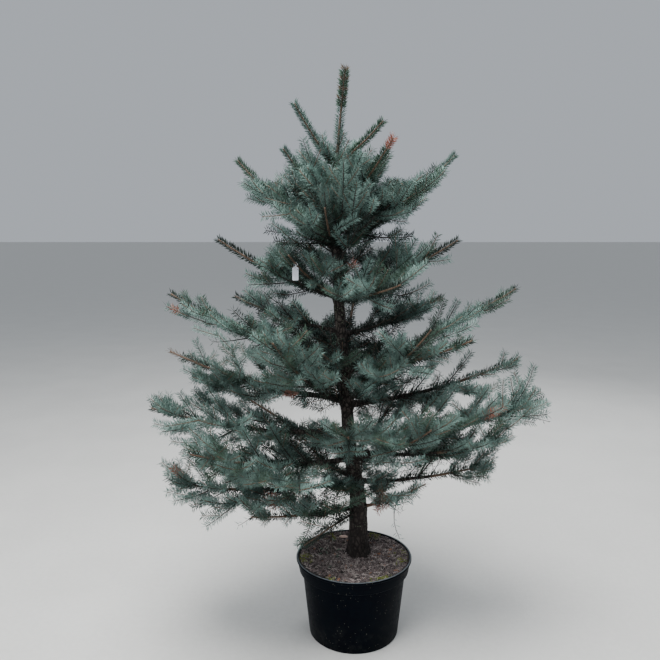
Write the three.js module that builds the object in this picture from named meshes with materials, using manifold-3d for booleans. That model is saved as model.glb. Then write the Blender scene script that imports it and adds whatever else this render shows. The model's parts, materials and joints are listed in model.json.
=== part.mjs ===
// Potted blue spruce: a young tree about 2.3 m high, standing in a round plastic pot.
// Millimetres, +Z up. The origin is the middle of the pot's flat underside, and -Y is the front.

import * as THREE from 'three';
import { mergeVertices } from 'three/addons/utils/BufferGeometryUtils.js';
import Module from 'manifold-3d';

const wasm = await Module();
wasm.setup();

// The gap that two pieces keep where they meet.
const SEAT_GAP = 0.3;

// Pot: a body that narrows to its foot, with a wider collar and a rolled lip on top.
const POT_HEIGHT = 330;
const POT_FOOT_RADIUS = 187;
const POT_NECK_RADIUS = 209;
const POT_COLLAR_HEIGHT = 90;
const POT_COLLAR_RADIUS = 213;
const POT_LIP_RADIUS = 240;
const POT_LIP_HEIGHT = 9;
const POT_WALL = 4;
const POT_SEGMENTS = 30;

// The faces of the pot's underside meet this far from its middle, so the middle is inside one of them.
const UNDERSIDE_CORNER = 30;

// Soil: level round the trunk's foot, a little lower at the pot's wall.
const SOIL_HEIGHT = 312;
const SOIL_LEVEL_RADIUS = 125;
const SOIL_DIP = 7;

// Trunk: height, x, y and diameter, from the flat cut on the soil to the leader's tip.
const TRUNK_STATIONS = [
  [312, 20, 55, 104],
  [345, 20, 55, 88],
  [460, 20, 54, 77],
  [560, 17, 53, 68],
  [790, -17, 50, 55],
  [1060, -38, 46, 49],
  [1400, -65, 40, 42],
  [1780, -74, 36, 27],
  [2000, -68, 35, 12],
  [2285, -42, 33, 6],
];
const TRUNK_SIDES = 10;
const TRUNK_RINGS = 18;

// Whorls, lowest first. Their boughs grew about so much each year, with side sprays at each year's end,
// and are bare over the inner share of their length. Each bough has the height of its foot on the
// trunk, its direction in degrees from +X round towards the back, the reach of its tip from the trunk,
// the rise of its tip over its foot, how far its middle sags, and whether its bare limb is a piece of
// its own.
const WHORLS = [
  {
    bare: 0.3,
    year: 150,
    boughs: {
      left: [518, 200, 462, 21, 18, false],
      front: [502, 240, 430, 22, 6, false],
      right: [514, 330, 300, 159, 14, false],
      back: [522, 92, 430, 70, 16, false],
    },
  },
  {
    bare: 0.3,
    year: 150,
    boughs: {
      left: [634, 186, 755, 19, 34, true],
      right: [630, 4, 563, 57, 26, true],
      back: [640, 118, 560, 60, 24, true],
    },
  },
  {
    bare: 0.28,
    year: 150,
    boughs: {
      front_left: [732, 212, 700, 138, 34, true],
      front_right: [738, 304, 480, 230, 34, false],
      right: [762, 343, 627, 108, 34, true],
      back_right: [742, 62, 570, 200, 30, false],
      back_left: [748, 146, 610, 180, 30, true],
    },
  },
  {
    bare: 0.26,
    year: 150,
    boughs: {
      left: [850, 191, 787, 134, 40, true],
      front: [838, 268, 350, 90, 16, false],
      right: [846, 355, 780, 150, 44, true],
      back: [858, 98, 640, 230, 36, true],
    },
  },
  {
    bare: 0.24,
    year: 150,
    boughs: {
      left: [985, 171, 758, 178, 36, true],
      front_left: [965, 237, 490, 317, 34, false],
      front_right: [978, 312, 438, 338, 30, false],
      right: [962, 12, 760, 160, 40, false],
      back: [990, 108, 610, 290, 34, false],
    },
  },
  {
    bare: 0.15,
    year: 150,
    boughs: {
      left: [1112, 187, 683, 313, 34, false],
      front: [1122, 254, 300, 100, 14, false],
      front_right: [1104, 328, 540, 168, 26, false],
      right: [1118, 9, 732, 312, 38, false],
      back: [1130, 82, 560, 320, 32, false],
    },
  },
  {
    bare: 0.15,
    year: 150,
    boughs: {
      left: [1266, 176, 431, 141, 18, false],
      back_right: [1254, 38, 590, 120, 24, false],
    },
  },
  {
    bare: 0.12,
    year: 145,
    boughs: {
      left: [1404, 183, 475, 231, 24, false],
      front_left: [1412, 235, 320, 168, 16, false],
      front_right: [1396, 305, 375, 80, 14, false],
      right: [1416, 355, 467, 216, 24, false],
      back: [1400, 88, 430, 230, 22, false],
    },
  },
  {
    bare: 0.1,
    year: 140,
    boughs: {
      left: [1590, 182, 387, 349, 24, false],
      front: [1604, 262, 330, 140, 14, false],
      right: [1592, 4, 466, 373, 28, false],
      back: [1582, 78, 409, 190, 18, false],
    },
  },
  {
    bare: 0.08,
    year: 120,
    boughs: {
      left: [1742, 197, 213, 235, 12, false],
      front: [1760, 245, 250, 130, 10, false],
      front_right: [1736, 312, 297, 258, 14, false],
      right: [1748, 5, 275, 70, 12, false],
      back: [1752, 85, 330, 257, 14, false],
    },
  },
  {
    bare: 0.05,
    year: 110,
    boughs: {
      left: [1906, 208, 182, 232, 8, false],
      right: [1922, 330, 196, 151, 8, false],
      back: [1912, 70, 240, 130, 8, false],
    },
  },
];

// Boughs
const LIMB_TIP_RADIUS = 2.2;
const LIMB_TAPER = 0.0125;
const LIMB_SIDES = 6;
const STEM_SIDES = 3;
const STEM_BULK = 1.25;
const SPLIT_BEFORE_NODE = 0.35;

// Sprays: each toothed blade stands for one side twig with all its needles.
const SPRAY_ANGLE = [48, 62];
const SPRAY_LIFT = [2, 16];
const SPRAY_SHARE = 0.56;
const SPRAY_BASE_LENGTH = 60;
const SPRAY_MOST_LENGTH = 330;
const SPRAY_HALF_WIDTH = 0.33;
const SPRAY_ROLL = 38;
const TOP_SPRAY_SHARE = 0.55;
const TIP_HALF_WIDTH = 0.28;
const LONG_SPRAY = 190;
const TOOTH_SWEEP = 0.55;
const NOTCH_DEPTH = 0.3;
const RIDGE_SHARE = 0.1;
const RIDGE_MOST_HEIGHT = 20;
const ROOT_HALF_SIZE = 3;
const SHORTER_TRIES = [1, 0.8, 0.6];

// Space that foliage keeps from a neighbour's space, from limbs and from the pot.
const SPACE_MARGIN = 3;
const TRUNK_MARGIN = 10;
const POT_MARGIN = 14;
const PATH_STEPS = 10;

// Leader: needles stand round the trunk's last shoot in a toothed sleeve.
const LEADER_FOOT = 2035;
const LEADER_TOP = 2290;
const LEADER_SIDES = 7;
const LEADER_TEETH = 6;
const LEADER_CORE_RADIUS = 10;
const LEADER_TOOTH_RADIUS = 20;
const LEADER_SWEEP = 8;

// Plant tag: a plain strip that hangs under a shoot.
const TAG_WIDTH = 24;
const TAG_LENGTH = 62;
const TAG_THICKNESS = 1.2;
const TAG_HANGS_ON = 'foliage_8_front_left';
const TAG_PLACE = 0.86;
const TAG_TURN = 20;
const TAG_CLEAR = 30;

const UP = new THREE.Vector3(0, 0, 1);
const DEGREE = Math.PI / 180;

const finishes = {
  pot: new THREE.MeshStandardMaterial({ color: 0x1b201d, roughness: 0.5, metalness: 0 }),
  soil: new THREE.MeshStandardMaterial({ color: 0x3b2b20, roughness: 0.95, metalness: 0 }),
  bark: new THREE.MeshStandardMaterial({ color: 0x4b4239, roughness: 0.9, metalness: 0 }),
  needles: new THREE.MeshStandardMaterial({ color: 0x64797f, roughness: 0.75, metalness: 0 }),
  tag: new THREE.MeshStandardMaterial({ color: 0xe6e9ec, roughness: 0.45, metalness: 0 }),
};

// The same keys always give the same number from 0 to 1, in whatever order they are asked for.
function chance(...keys) {
  let mix = 2166136261;
  for (const key of keys) {
    mix = Math.imul(mix ^ (key + 374761393), 16777619);
    mix ^= mix >>> 13;
    mix = Math.imul(mix, 1540483477);
    mix ^= mix >>> 15;
  }
  return (mix >>> 0) / 4294967296;
}

function between([low, high], share) {
  return low + (high - low) * share;
}

// A closed three.js geometry as a solid that can be joined and cut.
function solidOf(geometry) {
  geometry.deleteAttribute('normal');
  geometry.deleteAttribute('uv');
  const merged = mergeVertices(geometry, 1e-4);
  return new wasm.Manifold(new wasm.Mesh({
    numProp: 3,
    vertProperties: new Float32Array(merged.attributes.position.array),
    triVerts: new Uint32Array(merged.index.array),
  }));
}

// The main body of a joined solid, without loose scraps and with any sealed hollow filled.
function mainBody(solid) {
  const bodies = solid.decompose();
  return bodies.reduce((best, body) => (body.volume() > best.volume() ? body : best));
}

function geometryOf(solid) {
  const { vertProperties, triVerts } = solid.getMesh();
  const geometry = new THREE.BufferGeometry();
  geometry.setAttribute('position', new THREE.BufferAttribute(vertProperties, 3));
  geometry.setIndex(new THREE.BufferAttribute(triVerts, 1));
  geometry.computeVertexNormals();
  return geometry;
}

// Trunk

function trunkSlope(i, column) {
  const before = TRUNK_STATIONS[Math.max(i - 1, 0)];
  const after = TRUNK_STATIONS[Math.min(i + 1, TRUNK_STATIONS.length - 1)];
  return (after[column] - before[column]) / (after[0] - before[0]);
}

// A smooth curve through the stations, for x, y or diameter.
function trunkValue(height, column) {
  let i = TRUNK_STATIONS.length - 2;
  while (i > 0 && TRUNK_STATIONS[i][0] > height) {
    i -= 1;
  }
  const start = TRUNK_STATIONS[i];
  const end = TRUNK_STATIONS[i + 1];
  const span = end[0] - start[0];
  const t = (height - start[0]) / span;
  const ease = t * t * (3 - 2 * t);
  const bend = trunkSlope(i, column) * (t ** 3 - 2 * t ** 2 + t)
    + trunkSlope(i + 1, column) * (t ** 3 - t ** 2);
  return start[column] + (end[column] - start[column]) * ease + span * bend;
}

function trunkAxis(height) {
  return new THREE.Vector3(trunkValue(height, 1), trunkValue(height, 2), height);
}

function trunkRadius(height) {
  return trunkValue(height, 3) / 2;
}

function trunkSolid(grow) {
  const low = TRUNK_STATIONS[0][0];
  const high = TRUNK_STATIONS[TRUNK_STATIONS.length - 1][0];
  const geometry = new THREE.CylinderGeometry(1, 1, 1, TRUNK_SIDES, TRUNK_RINGS);
  const position = geometry.attributes.position;
  for (let i = 0; i < position.count; i += 1) {
    const share = 0.5 + position.getY(i);
    // Rings lie closer together on the flare than further up.
    const height = low + (high - low) * (0.35 * share + 0.65 * share * share);
    const centre = trunkAxis(height);
    const radius = trunkRadius(height) + grow;
    const ends = share === 1 ? grow : 0;
    position.setXYZ(
      i,
      centre.x + position.getX(i) * radius,
      centre.y - position.getZ(i) * radius,
      height + ends,
    );
  }
  return solidOf(geometry);
}

// Boughs

function boughPoint(bough, t) {
  return bough.foot.clone()
    .addScaledVector(bough.out, bough.reach * t)
    .addScaledVector(bough.aside, bough.drift * Math.sin(Math.PI * t))
    .addScaledVector(UP, bough.rise * t - 4 * bough.sag * t * (1 - t));
}

function boughHeading(bough, t) {
  const step = 0.01;
  return boughPoint(bough, t + step).sub(boughPoint(bough, t - step)).normalize();
}

function limbRadius(bough, t) {
  return LIMB_TIP_RADIUS + bough.reach * LIMB_TAPER * (1 - t);
}

function describeBoughs() {
  const boughs = [];
  WHORLS.forEach((whorl, level) => {
    Object.entries(whorl.boughs).forEach(([side, row], place) => {
      const [height, direction, reach, rise, sag, ownLimb] = row;
      const out = new THREE.Vector3(Math.cos(direction * DEGREE), Math.sin(direction * DEGREE), 0);
      const years = Math.max(2, Math.round(Math.hypot(reach, rise) / whorl.year));
      const firstNode = Math.max(1, Math.ceil(whorl.bare * years));
      boughs.push({
        name: `${level + 1}_${side}`,
        keys: [level + 1, place],
        foot: trunkAxis(height),
        out,
        aside: new THREE.Vector3().crossVectors(UP, out),
        reach,
        rise,
        sag,
        drift: (chance(level + 1, place, 1) - 0.5) * 0.08 * reach,
        years,
        firstNode,
        split: ownLimb ? (firstNode - SPLIT_BEFORE_NODE) / years : 0,
      });
    });
  });
  for (const bough of boughs) {
    bough.path = Array.from({ length: PATH_STEPS + 1 }, (_, i) => boughPoint(bough, i / PATH_STEPS));
  }
  return boughs;
}

const boughs = describeBoughs();

// A cylinder whose rings are moved onto the bough, square to it.
function limbSolid(bough, from, to, sides, bulk, steps) {
  const geometry = new THREE.CylinderGeometry(1, 1, 1, sides, steps);
  const position = geometry.attributes.position;
  for (let i = 0; i < position.count; i += 1) {
    const t = from + (to - from) * (0.5 + position.getY(i));
    const heading = boughHeading(bough, t);
    const across = new THREE.Vector3().crossVectors(heading, UP).normalize();
    const lift = new THREE.Vector3().crossVectors(across, heading);
    const radius = limbRadius(bough, t) * bulk;
    const place = boughPoint(bough, t)
      .addScaledVector(across, position.getX(i) * radius)
      .addScaledVector(lift, position.getZ(i) * radius);
    position.setXYZ(i, place.x, place.y, place.z);
  }
  return solidOf(geometry);
}

// Space: a point belongs to the bough whose path is nearest.

function distanceToPath(point, path) {
  let least = Infinity;
  const line = new THREE.Line3();
  const nearest = new THREE.Vector3();
  for (let i = 1; i < path.length; i += 1) {
    line.set(path[i - 1], path[i]).closestPointToPoint(point, true, nearest);
    least = Math.min(least, nearest.distanceTo(point));
  }
  return least;
}

function isInSpace(point, bough) {
  const height = THREE.MathUtils.clamp(point.z, TRUNK_STATIONS[0][0], LEADER_FOOT);
  const axis = trunkAxis(height);
  const fromTrunk = Math.hypot(point.x - axis.x, point.y - axis.y);
  if (fromTrunk < trunkRadius(height) + TRUNK_MARGIN) {
    return false;
  }
  if (point.z < POT_HEIGHT + POT_MARGIN) {
    return false;
  }
  if (point.distanceTo(tagCentre) < TAG_LENGTH / 2 + TAG_CLEAR && point.z < tagTop.z) {
    return false;
  }
  const own = distanceToPath(point, bough.path);
  return boughs.every((other) => other === bough || distanceToPath(point, other.path) > own + SPACE_MARGIN);
}

// Plant tag: its place comes first, because foliage keeps clear of it.

const tagBough = boughs.find((bough) => `foliage_${bough.name}` === TAG_HANGS_ON);
const tagTop = boughPoint(tagBough, TAG_PLACE);
const tagCentre = tagTop.clone().addScaledVector(UP, -TAG_LENGTH / 2);

function tagMesh(grow) {
  const sides = [TAG_WIDTH, TAG_THICKNESS, TAG_LENGTH].map((side) => side + 2 * grow);
  const mesh = new THREE.Mesh(new THREE.BoxGeometry(...sides), finishes.tag);
  mesh.name = 'plant_tag';
  mesh.position.copy(tagCentre);
  mesh.rotation.z = TAG_TURN * DEGREE;
  mesh.updateMatrix();
  return mesh;
}

// Sprays

// A flat blade along +Y with swept teeth on both edges and a low ridge above and below. Its root is
// slender, and it comes to a point at its tip.
function bladePoints(length, halfWidth, pairs) {
  const spacing = length / (pairs + 0.6);
  const sweep = TOOTH_SWEEP * spacing;
  const ridgeBack = sweep * NOTCH_DEPTH * 1.6;
  const ridgeHeight = Math.min(RIDGE_MOST_HEIGHT, RIDGE_SHARE * length);
  const points = {
    ridges: [[0, ROOT_HALF_SIZE]],
    notches: [[ROOT_HALF_SIZE, 0]],
    teeth: [],
    tip: [0, length, 0],
  };
  for (let i = 1; i < pairs; i += 1) {
    const taper = 1 - 0.5 * (i / pairs);
    points.notches.push([halfWidth * NOTCH_DEPTH * taper, i * spacing]);
    points.ridges.push([i * spacing - ridgeBack, ridgeHeight * taper]);
  }
  for (let i = 0; i < pairs; i += 1) {
    const taper = (1 - 0.55 * (i / pairs) ** 2) * (i ? 1 : 0.85);
    points.teeth.push([halfWidth * taper, (i + 1) * spacing * 0.86 + sweep]);
  }
  return points;
}

function bladeGeometry(length, halfWidth, pairs) {
  const { ridges, notches, teeth, tip } = bladePoints(length, halfWidth, pairs);
  const places = [];
  const faces = [];
  const put = (x, y, z) => places.push(x, y, z) / 3 - 1;
  const tipAt = put(...tip);
  const tops = ridges.map(([y, z]) => put(0, y, z));
  const bottoms = ridges.map(([y, z]) => put(0, y, -z));
  const edges = [1, -1].map((hand) => ({
    hand,
    notch: notches.map(([x, y]) => put(hand * x, y, 0)),
    tooth: teeth.map(([x, y]) => put(hand * x, y, 0)),
  }));
  for (const { hand, notch, tooth } of edges) {
    for (const [ridge, upward] of [[tops, 1], [bottoms, -1]]) {
      const face = (a, b, c) => faces.push(...(hand * upward > 0 ? [a, b, c] : [a, c, b]));
      for (let i = 0; i < pairs; i += 1) {
        const isLast = i === pairs - 1;
        face(ridge[i], notch[i], tooth[i]);
        face(ridge[i], tooth[i], isLast ? tipAt : ridge[i + 1]);
        if (!isLast) {
          face(ridge[i + 1], tooth[i], notch[i + 1]);
        }
      }
    }
  }
  const [right, left] = edges;
  faces.push(tops[0], left.notch[0], bottoms[0], tops[0], bottoms[0], right.notch[0]);
  const geometry = new THREE.BufferGeometry();
  geometry.setAttribute('position', new THREE.Float32BufferAttribute(places, 3));
  geometry.setIndex(faces);
  return geometry;
}

// Turns a blade's +Y along its heading, with its flat side rolled from level.
function bladePose(root, heading, roll) {
  const across = new THREE.Vector3().crossVectors(heading, UP).normalize();
  const lift = new THREE.Vector3().crossVectors(across, heading);
  const pose = new THREE.Matrix4().makeBasis(across, heading, lift);
  pose.multiply(new THREE.Matrix4().makeRotationY(roll));
  return pose.setPosition(root);
}

// The blade as a solid, shorter if it has to be, or nothing where even a short one would leave the space.
function spraySolid(bough, root, heading, length, widthShare, roll) {
  const pose = bladePose(root, heading, roll);
  for (const share of SHORTER_TRIES) {
    const halfWidth = length * share * widthShare;
    const pairs = length * share > LONG_SPRAY ? 3 : 2;
    const { teeth, tip } = bladePoints(length * share, halfWidth, pairs);
    const outline = teeth.flatMap(([x, y]) => [[x, y, 0], [-x, y, 0]]).concat([tip]);
    const world = outline.map((point) => new THREE.Vector3(...point).applyMatrix4(pose));
    if (world.every((point) => isInSpace(point, bough))) {
      return solidOf(bladeGeometry(length * share, halfWidth, pairs).applyMatrix4(pose));
    }
  }
  return null;
}

// The heading of a side twig: turned aside from the bough and lifted a little.
function sprayHeading(bough, t, turn, lift) {
  const heading = boughHeading(bough, t);
  const across = new THREE.Vector3().crossVectors(heading, UP).normalize();
  return heading.multiplyScalar(Math.cos(turn)).addScaledVector(across, Math.sin(turn))
    .addScaledVector(UP, Math.tan(lift)).normalize();
}

function foliageSolid(bough, keptClear) {
  const length = Math.hypot(bough.reach, bough.rise);
  const lastNode = (bough.years - 1) / bough.years;
  const gapShare = bough.split ? SEAT_GAP / length : 0;
  const steps = Math.max(2, bough.years - Math.floor(bough.split * bough.years));
  let mass = limbSolid(bough, bough.split + gapShare, lastNode, STEM_SIDES, STEM_BULK, steps);
  for (let node = bough.firstNode; node < bough.years; node += 1) {
    const t = node / bough.years;
    const spread = Math.min(
      SPRAY_BASE_LENGTH + SPRAY_SHARE * (1 - t) * length,
      SPRAY_MOST_LENGTH,
    );
    const root = boughPoint(bough, t - 0.12 / bough.years);
    for (const hand of [1, -1]) {
      const keys = [...bough.keys, node, hand + 2];
      const turn = between(SPRAY_ANGLE, chance(...keys, 1)) * DEGREE * hand;
      const lift = between(SPRAY_LIFT, chance(...keys, 2)) * DEGREE;
      const roll = (chance(...keys, 3) < 0.5 ? -1 : 1) * SPRAY_ROLL * DEGREE;
      const size = spread * between([0.85, 1.1], chance(...keys, 4));
      const heading = sprayHeading(bough, t, turn, lift);
      const spray = spraySolid(bough, root, heading, size, SPRAY_HALF_WIDTH, roll);
      mass = spray ? mass.add(spray) : mass;
    }
    if (node % 2 === bough.keys[1] % 2) {
      const heading = sprayHeading(bough, t, 0, 38 * DEGREE);
      const spray = spraySolid(bough, root, heading, spread * TOP_SPRAY_SHARE, SPRAY_HALF_WIDTH, 0);
      mass = spray ? mass.add(spray) : mass;
    }
  }
  const tip = boughPoint(bough, 1);
  const tipRoot = boughPoint(bough, lastNode - 0.25 / bough.years);
  const heading = tip.clone().sub(tipRoot);
  const roll = (chance(...bough.keys, 5) - 0.5) * 2 * SPRAY_ROLL * DEGREE;
  const reach = heading.length();
  const pose = bladePose(tipRoot, heading.normalize(), roll);
  mass = mass.add(solidOf(bladeGeometry(reach, reach * TIP_HALF_WIDTH, 3).applyMatrix4(pose)));
  if (bough === tagBough) {
    const room = tagMesh(SEAT_GAP);
    mass = mass.subtract(solidOf(room.geometry.applyMatrix4(room.matrix)));
  }
  return mainBody(mass.subtract(keptClear));
}

// Needles on the leader: a toothed sleeve round the trunk's last shoot, cut clear of it.
function leaderSolid(keptClear) {
  const geometry = new THREE.CylinderGeometry(1, 1, 1, LEADER_SIDES, 2 * LEADER_TEETH);
  const position = geometry.attributes.position;
  for (let i = 0; i < position.count; i += 1) {
    const share = 0.5 + position.getY(i);
    const ring = Math.round(share * 2 * LEADER_TEETH);
    const height = LEADER_FOOT + (LEADER_TOP - LEADER_FOOT) * share;
    const radius = (ring % 2 ? LEADER_TOOTH_RADIUS : LEADER_CORE_RADIUS) * (1 - 0.35 * share ** 3);
    const centre = trunkAxis(Math.min(height, TRUNK_STATIONS[TRUNK_STATIONS.length - 1][0]));
    const rise = ring % 2 ? LEADER_SWEEP : 0;
    position.setXYZ(
      i,
      centre.x + position.getX(i) * radius,
      centre.y - position.getZ(i) * radius,
      height + rise,
    );
  }
  return mainBody(solidOf(geometry).subtract(keptClear));
}

// Pot and soil

function potMesh() {
  const collarFoot = POT_HEIGHT - POT_COLLAR_HEIGHT;
  const lipFoot = POT_HEIGHT - POT_LIP_HEIGHT;
  const profile = [
    [0, 0],
    [POT_FOOT_RADIUS, 0],
    [POT_NECK_RADIUS, collarFoot],
    [POT_COLLAR_RADIUS, collarFoot + 2],
    [POT_LIP_RADIUS - 4, lipFoot - 1],
    [POT_LIP_RADIUS, lipFoot + 3],
    [POT_LIP_RADIUS - 2, POT_HEIGHT],
    [POT_LIP_RADIUS - 8, POT_HEIGHT - 1],
    [potInnerRadius(lipFoot - 4), lipFoot - 4],
    [potInnerRadius(collarFoot), collarFoot],
    [potInnerRadius(POT_WALL), POT_WALL],
    [0, POT_WALL],
  ].map(([x, y]) => new THREE.Vector2(x, y));
  const geometry = new THREE.LatheGeometry(profile, POT_SEGMENTS);
  geometry.rotateX(Math.PI / 2);
  const aside = Math.PI / POT_SEGMENTS;
  const position = geometry.attributes.position;
  for (let i = 0; i < position.count; i += 1) {
    if (Math.hypot(position.getX(i), position.getY(i)) < 1 && position.getZ(i) < 1) {
      position.setXYZ(i, UNDERSIDE_CORNER * Math.cos(aside), UNDERSIDE_CORNER * Math.sin(aside), 0);
    }
  }
  const mesh = new THREE.Mesh(geometryOf(solidOf(geometry)), finishes.pot);
  mesh.name = 'pot';
  return mesh;
}

function potInnerRadius(height) {
  const collarFoot = POT_HEIGHT - POT_COLLAR_HEIGHT;
  if (height <= collarFoot) {
    return POT_FOOT_RADIUS - POT_WALL + ((POT_NECK_RADIUS - POT_FOOT_RADIUS) * height) / collarFoot;
  }
  const lipFoot = POT_HEIGHT - POT_LIP_HEIGHT;
  const share = (height - collarFoot) / (lipFoot - collarFoot);
  return POT_NECK_RADIUS - POT_WALL + (POT_LIP_RADIUS - 4 - POT_COLLAR_RADIUS) * share;
}

function soilMesh() {
  const collarFoot = POT_HEIGHT - POT_COLLAR_HEIGHT;
  const edge = SOIL_HEIGHT - SEAT_GAP - SOIL_DIP;
  const clear = 2 * SEAT_GAP;
  const profile = [
    [0, POT_WALL + SEAT_GAP],
    [potInnerRadius(POT_WALL) - clear, POT_WALL + SEAT_GAP],
    [potInnerRadius(collarFoot) - clear, collarFoot],
    [potInnerRadius(edge) - clear, edge],
    [SOIL_LEVEL_RADIUS, SOIL_HEIGHT - SEAT_GAP],
    [0, SOIL_HEIGHT - SEAT_GAP],
  ].map(([x, y]) => new THREE.Vector2(x, y));
  const geometry = new THREE.LatheGeometry(profile, POT_SEGMENTS);
  geometry.rotateX(Math.PI / 2);
  const mesh = new THREE.Mesh(geometryOf(solidOf(geometry)), finishes.soil);
  mesh.name = 'soil';
  return mesh;
}

function namedMesh(name, solid, finish) {
  const mesh = new THREE.Mesh(geometryOf(solid), finish);
  mesh.name = name;
  return mesh;
}

const spruce = new THREE.Group();
spruce.add(potMesh(), soilMesh(), tagMesh(0));
spruce.add(namedMesh('trunk', trunkSolid(0), finishes.bark));

const trunkRoom = trunkSolid(SEAT_GAP / Math.cos(Math.PI / TRUNK_SIDES));
for (const bough of boughs) {
  if (bough.split) {
    const steps = Math.max(3, Math.round(bough.split * bough.years * 2));
    const limb = limbSolid(bough, 0, bough.split, LIMB_SIDES, 1, steps).subtract(trunkRoom);
    spruce.add(namedMesh(`bough_${bough.name}`, limb, finishes.bark));
  }
  spruce.add(namedMesh(`foliage_${bough.name}`, foliageSolid(bough, trunkRoom), finishes.needles));
}
spruce.add(namedMesh('foliage_leader', leaderSolid(trunkRoom), finishes.needles));

export default spruce;
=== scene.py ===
# Potted blue spruce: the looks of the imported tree, pot, soil and plant tag.
# The plant's own measures are millimetres, as in the part's source, and become metres when a mesh is made.
import json
import math

import bmesh
import bpy
import numpy as np
from mathutils import Matrix, Vector, noise

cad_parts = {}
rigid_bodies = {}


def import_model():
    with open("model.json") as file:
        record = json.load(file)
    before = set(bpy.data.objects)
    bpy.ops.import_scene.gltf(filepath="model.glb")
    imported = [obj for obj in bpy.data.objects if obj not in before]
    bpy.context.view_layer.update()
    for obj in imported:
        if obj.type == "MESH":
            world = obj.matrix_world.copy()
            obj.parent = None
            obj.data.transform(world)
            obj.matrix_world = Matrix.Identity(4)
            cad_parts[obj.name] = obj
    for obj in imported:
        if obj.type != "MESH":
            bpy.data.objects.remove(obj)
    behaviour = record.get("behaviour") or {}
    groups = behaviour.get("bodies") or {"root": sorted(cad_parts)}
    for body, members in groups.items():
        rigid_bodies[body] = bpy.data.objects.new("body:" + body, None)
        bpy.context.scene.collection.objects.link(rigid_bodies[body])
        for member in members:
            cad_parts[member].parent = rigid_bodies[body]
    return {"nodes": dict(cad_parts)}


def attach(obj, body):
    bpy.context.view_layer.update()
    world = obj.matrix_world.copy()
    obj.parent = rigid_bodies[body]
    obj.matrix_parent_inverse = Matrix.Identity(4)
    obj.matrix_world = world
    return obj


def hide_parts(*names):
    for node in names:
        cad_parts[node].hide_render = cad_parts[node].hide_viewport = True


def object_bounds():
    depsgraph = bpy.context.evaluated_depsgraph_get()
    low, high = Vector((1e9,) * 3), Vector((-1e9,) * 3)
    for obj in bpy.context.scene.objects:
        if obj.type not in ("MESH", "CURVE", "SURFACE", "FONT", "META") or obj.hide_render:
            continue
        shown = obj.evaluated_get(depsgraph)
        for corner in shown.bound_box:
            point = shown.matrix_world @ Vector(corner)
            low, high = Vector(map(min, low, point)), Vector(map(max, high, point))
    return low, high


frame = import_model()
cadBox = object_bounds()
scene = bpy.context.scene
mm = 0.001
up = Vector((0, 0, 1))
# the turn from one shoot or needle to the next round its stem
goldenTurn = 2.39996
print("stage: frame loaded with", len(frame["nodes"]), "nodes")


def chance(*keys):
    # the same keys always give the same number from 0 to 1
    mix = 2166136261
    for key in keys:
        mix = ((mix ^ (int(key) + 374761393)) * 16777619) & 0xFFFFFFFF
        mix ^= mix >> 13
        mix = (mix * 1540483477) & 0xFFFFFFFF
        mix ^= mix >> 15
    return mix / 4294967296


def between(pair, share):
    return pair[0] + (pair[1] - pair[0]) * share


def drawn(pair, *keys):
    return between(pair, chance(*keys))


def levelWay(angle):
    return Vector((math.cos(angle), math.sin(angle), 0))


def newObject(name, mesh, *materials):
    obj = bpy.data.objects.new(name, mesh)
    scene.collection.objects.link(obj)
    for material in materials:
        mesh.materials.append(material)
    return obj


def meshFromArrays(name, points, faces, material, smooth=False):
    # points in millimetres; faces is an array with one row of corners per face
    mesh = bpy.data.meshes.new(name)
    sides = faces.shape[1]
    mesh.vertices.add(len(points))
    mesh.vertices.foreach_set("co", (points * mm).astype(np.float32).ravel())
    mesh.loops.add(faces.size)
    mesh.loops.foreach_set("vertex_index", faces.astype(np.int32).ravel())
    mesh.polygons.add(len(faces))
    mesh.polygons.foreach_set("loop_start", np.arange(0, faces.size, sides, dtype=np.int32))
    mesh.polygons.foreach_set("use_smooth", np.full(len(faces), smooth))
    mesh.update(calc_edges=True)
    mesh.validate()
    return newObject(name, mesh, material)


def objectFromBmesh(name, bm, material, smoothAngle=None):
    bm.transform(Matrix.Scale(mm, 4))
    mesh = bpy.data.meshes.new(name)
    bm.to_mesh(mesh)
    bm.free()
    if smoothAngle is not None:
        mesh.shade_smooth()
        mesh.set_sharp_from_angle(angle=math.radians(smoothAngle))
    return newObject(name, mesh, material)


def spinClosed(bm, geom, steps):
    # turns a profile or a ring once round the Z axis into a closed body
    bmesh.ops.spin(bm, geom=geom, cent=(0, 0, 0), axis=(0, 0, 1), angle=2 * math.pi, steps=steps,
                   use_merge=True)
    bmesh.ops.remove_doubles(bm, verts=bm.verts, dist=0.01)
    bmesh.ops.recalc_face_normals(bm, faces=bm.faces)


def turnedProfile(profile, steps):
    # the profile is a list of radii and heights, from the axis and back to it
    bm = bmesh.new()
    verts = [bm.verts.new((radius, 0, height)) for radius, height in profile]
    edges = [bm.edges.new(pair) for pair in zip(verts, verts[1:])]
    spinClosed(bm, verts + edges, steps)
    return bm


def piece(obj, slotName, *nodes):
    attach(obj, "root")
    if nodes:
        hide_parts(*nodes)
    return obj


# materials

def newNode(tree, kind, **values):
    node = tree.nodes.new(kind)
    for key, value in values.items():
        if key in node.inputs:
            node.inputs[key].default_value = value
        else:
            setattr(node, key, value)
    return node


def wire(tree, *links):
    # each link: a node and its output, then a node and its input
    for source, output, target, entry in links:
        tree.links.new(source.outputs[output], target.inputs[entry])


def newMaterial(name, color, roughness, specular=0.5):
    material = bpy.data.materials.new(name)
    material.use_nodes = True
    shader = material.node_tree.nodes["Principled BSDF"]
    shader.inputs["Base Color"].default_value = (*color, 1)
    shader.inputs["Roughness"].default_value = roughness
    shader.inputs["Specular IOR Level"].default_value = specular
    material.diffuse_color = (*color, 1)
    return material, material.node_tree, shader


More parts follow.
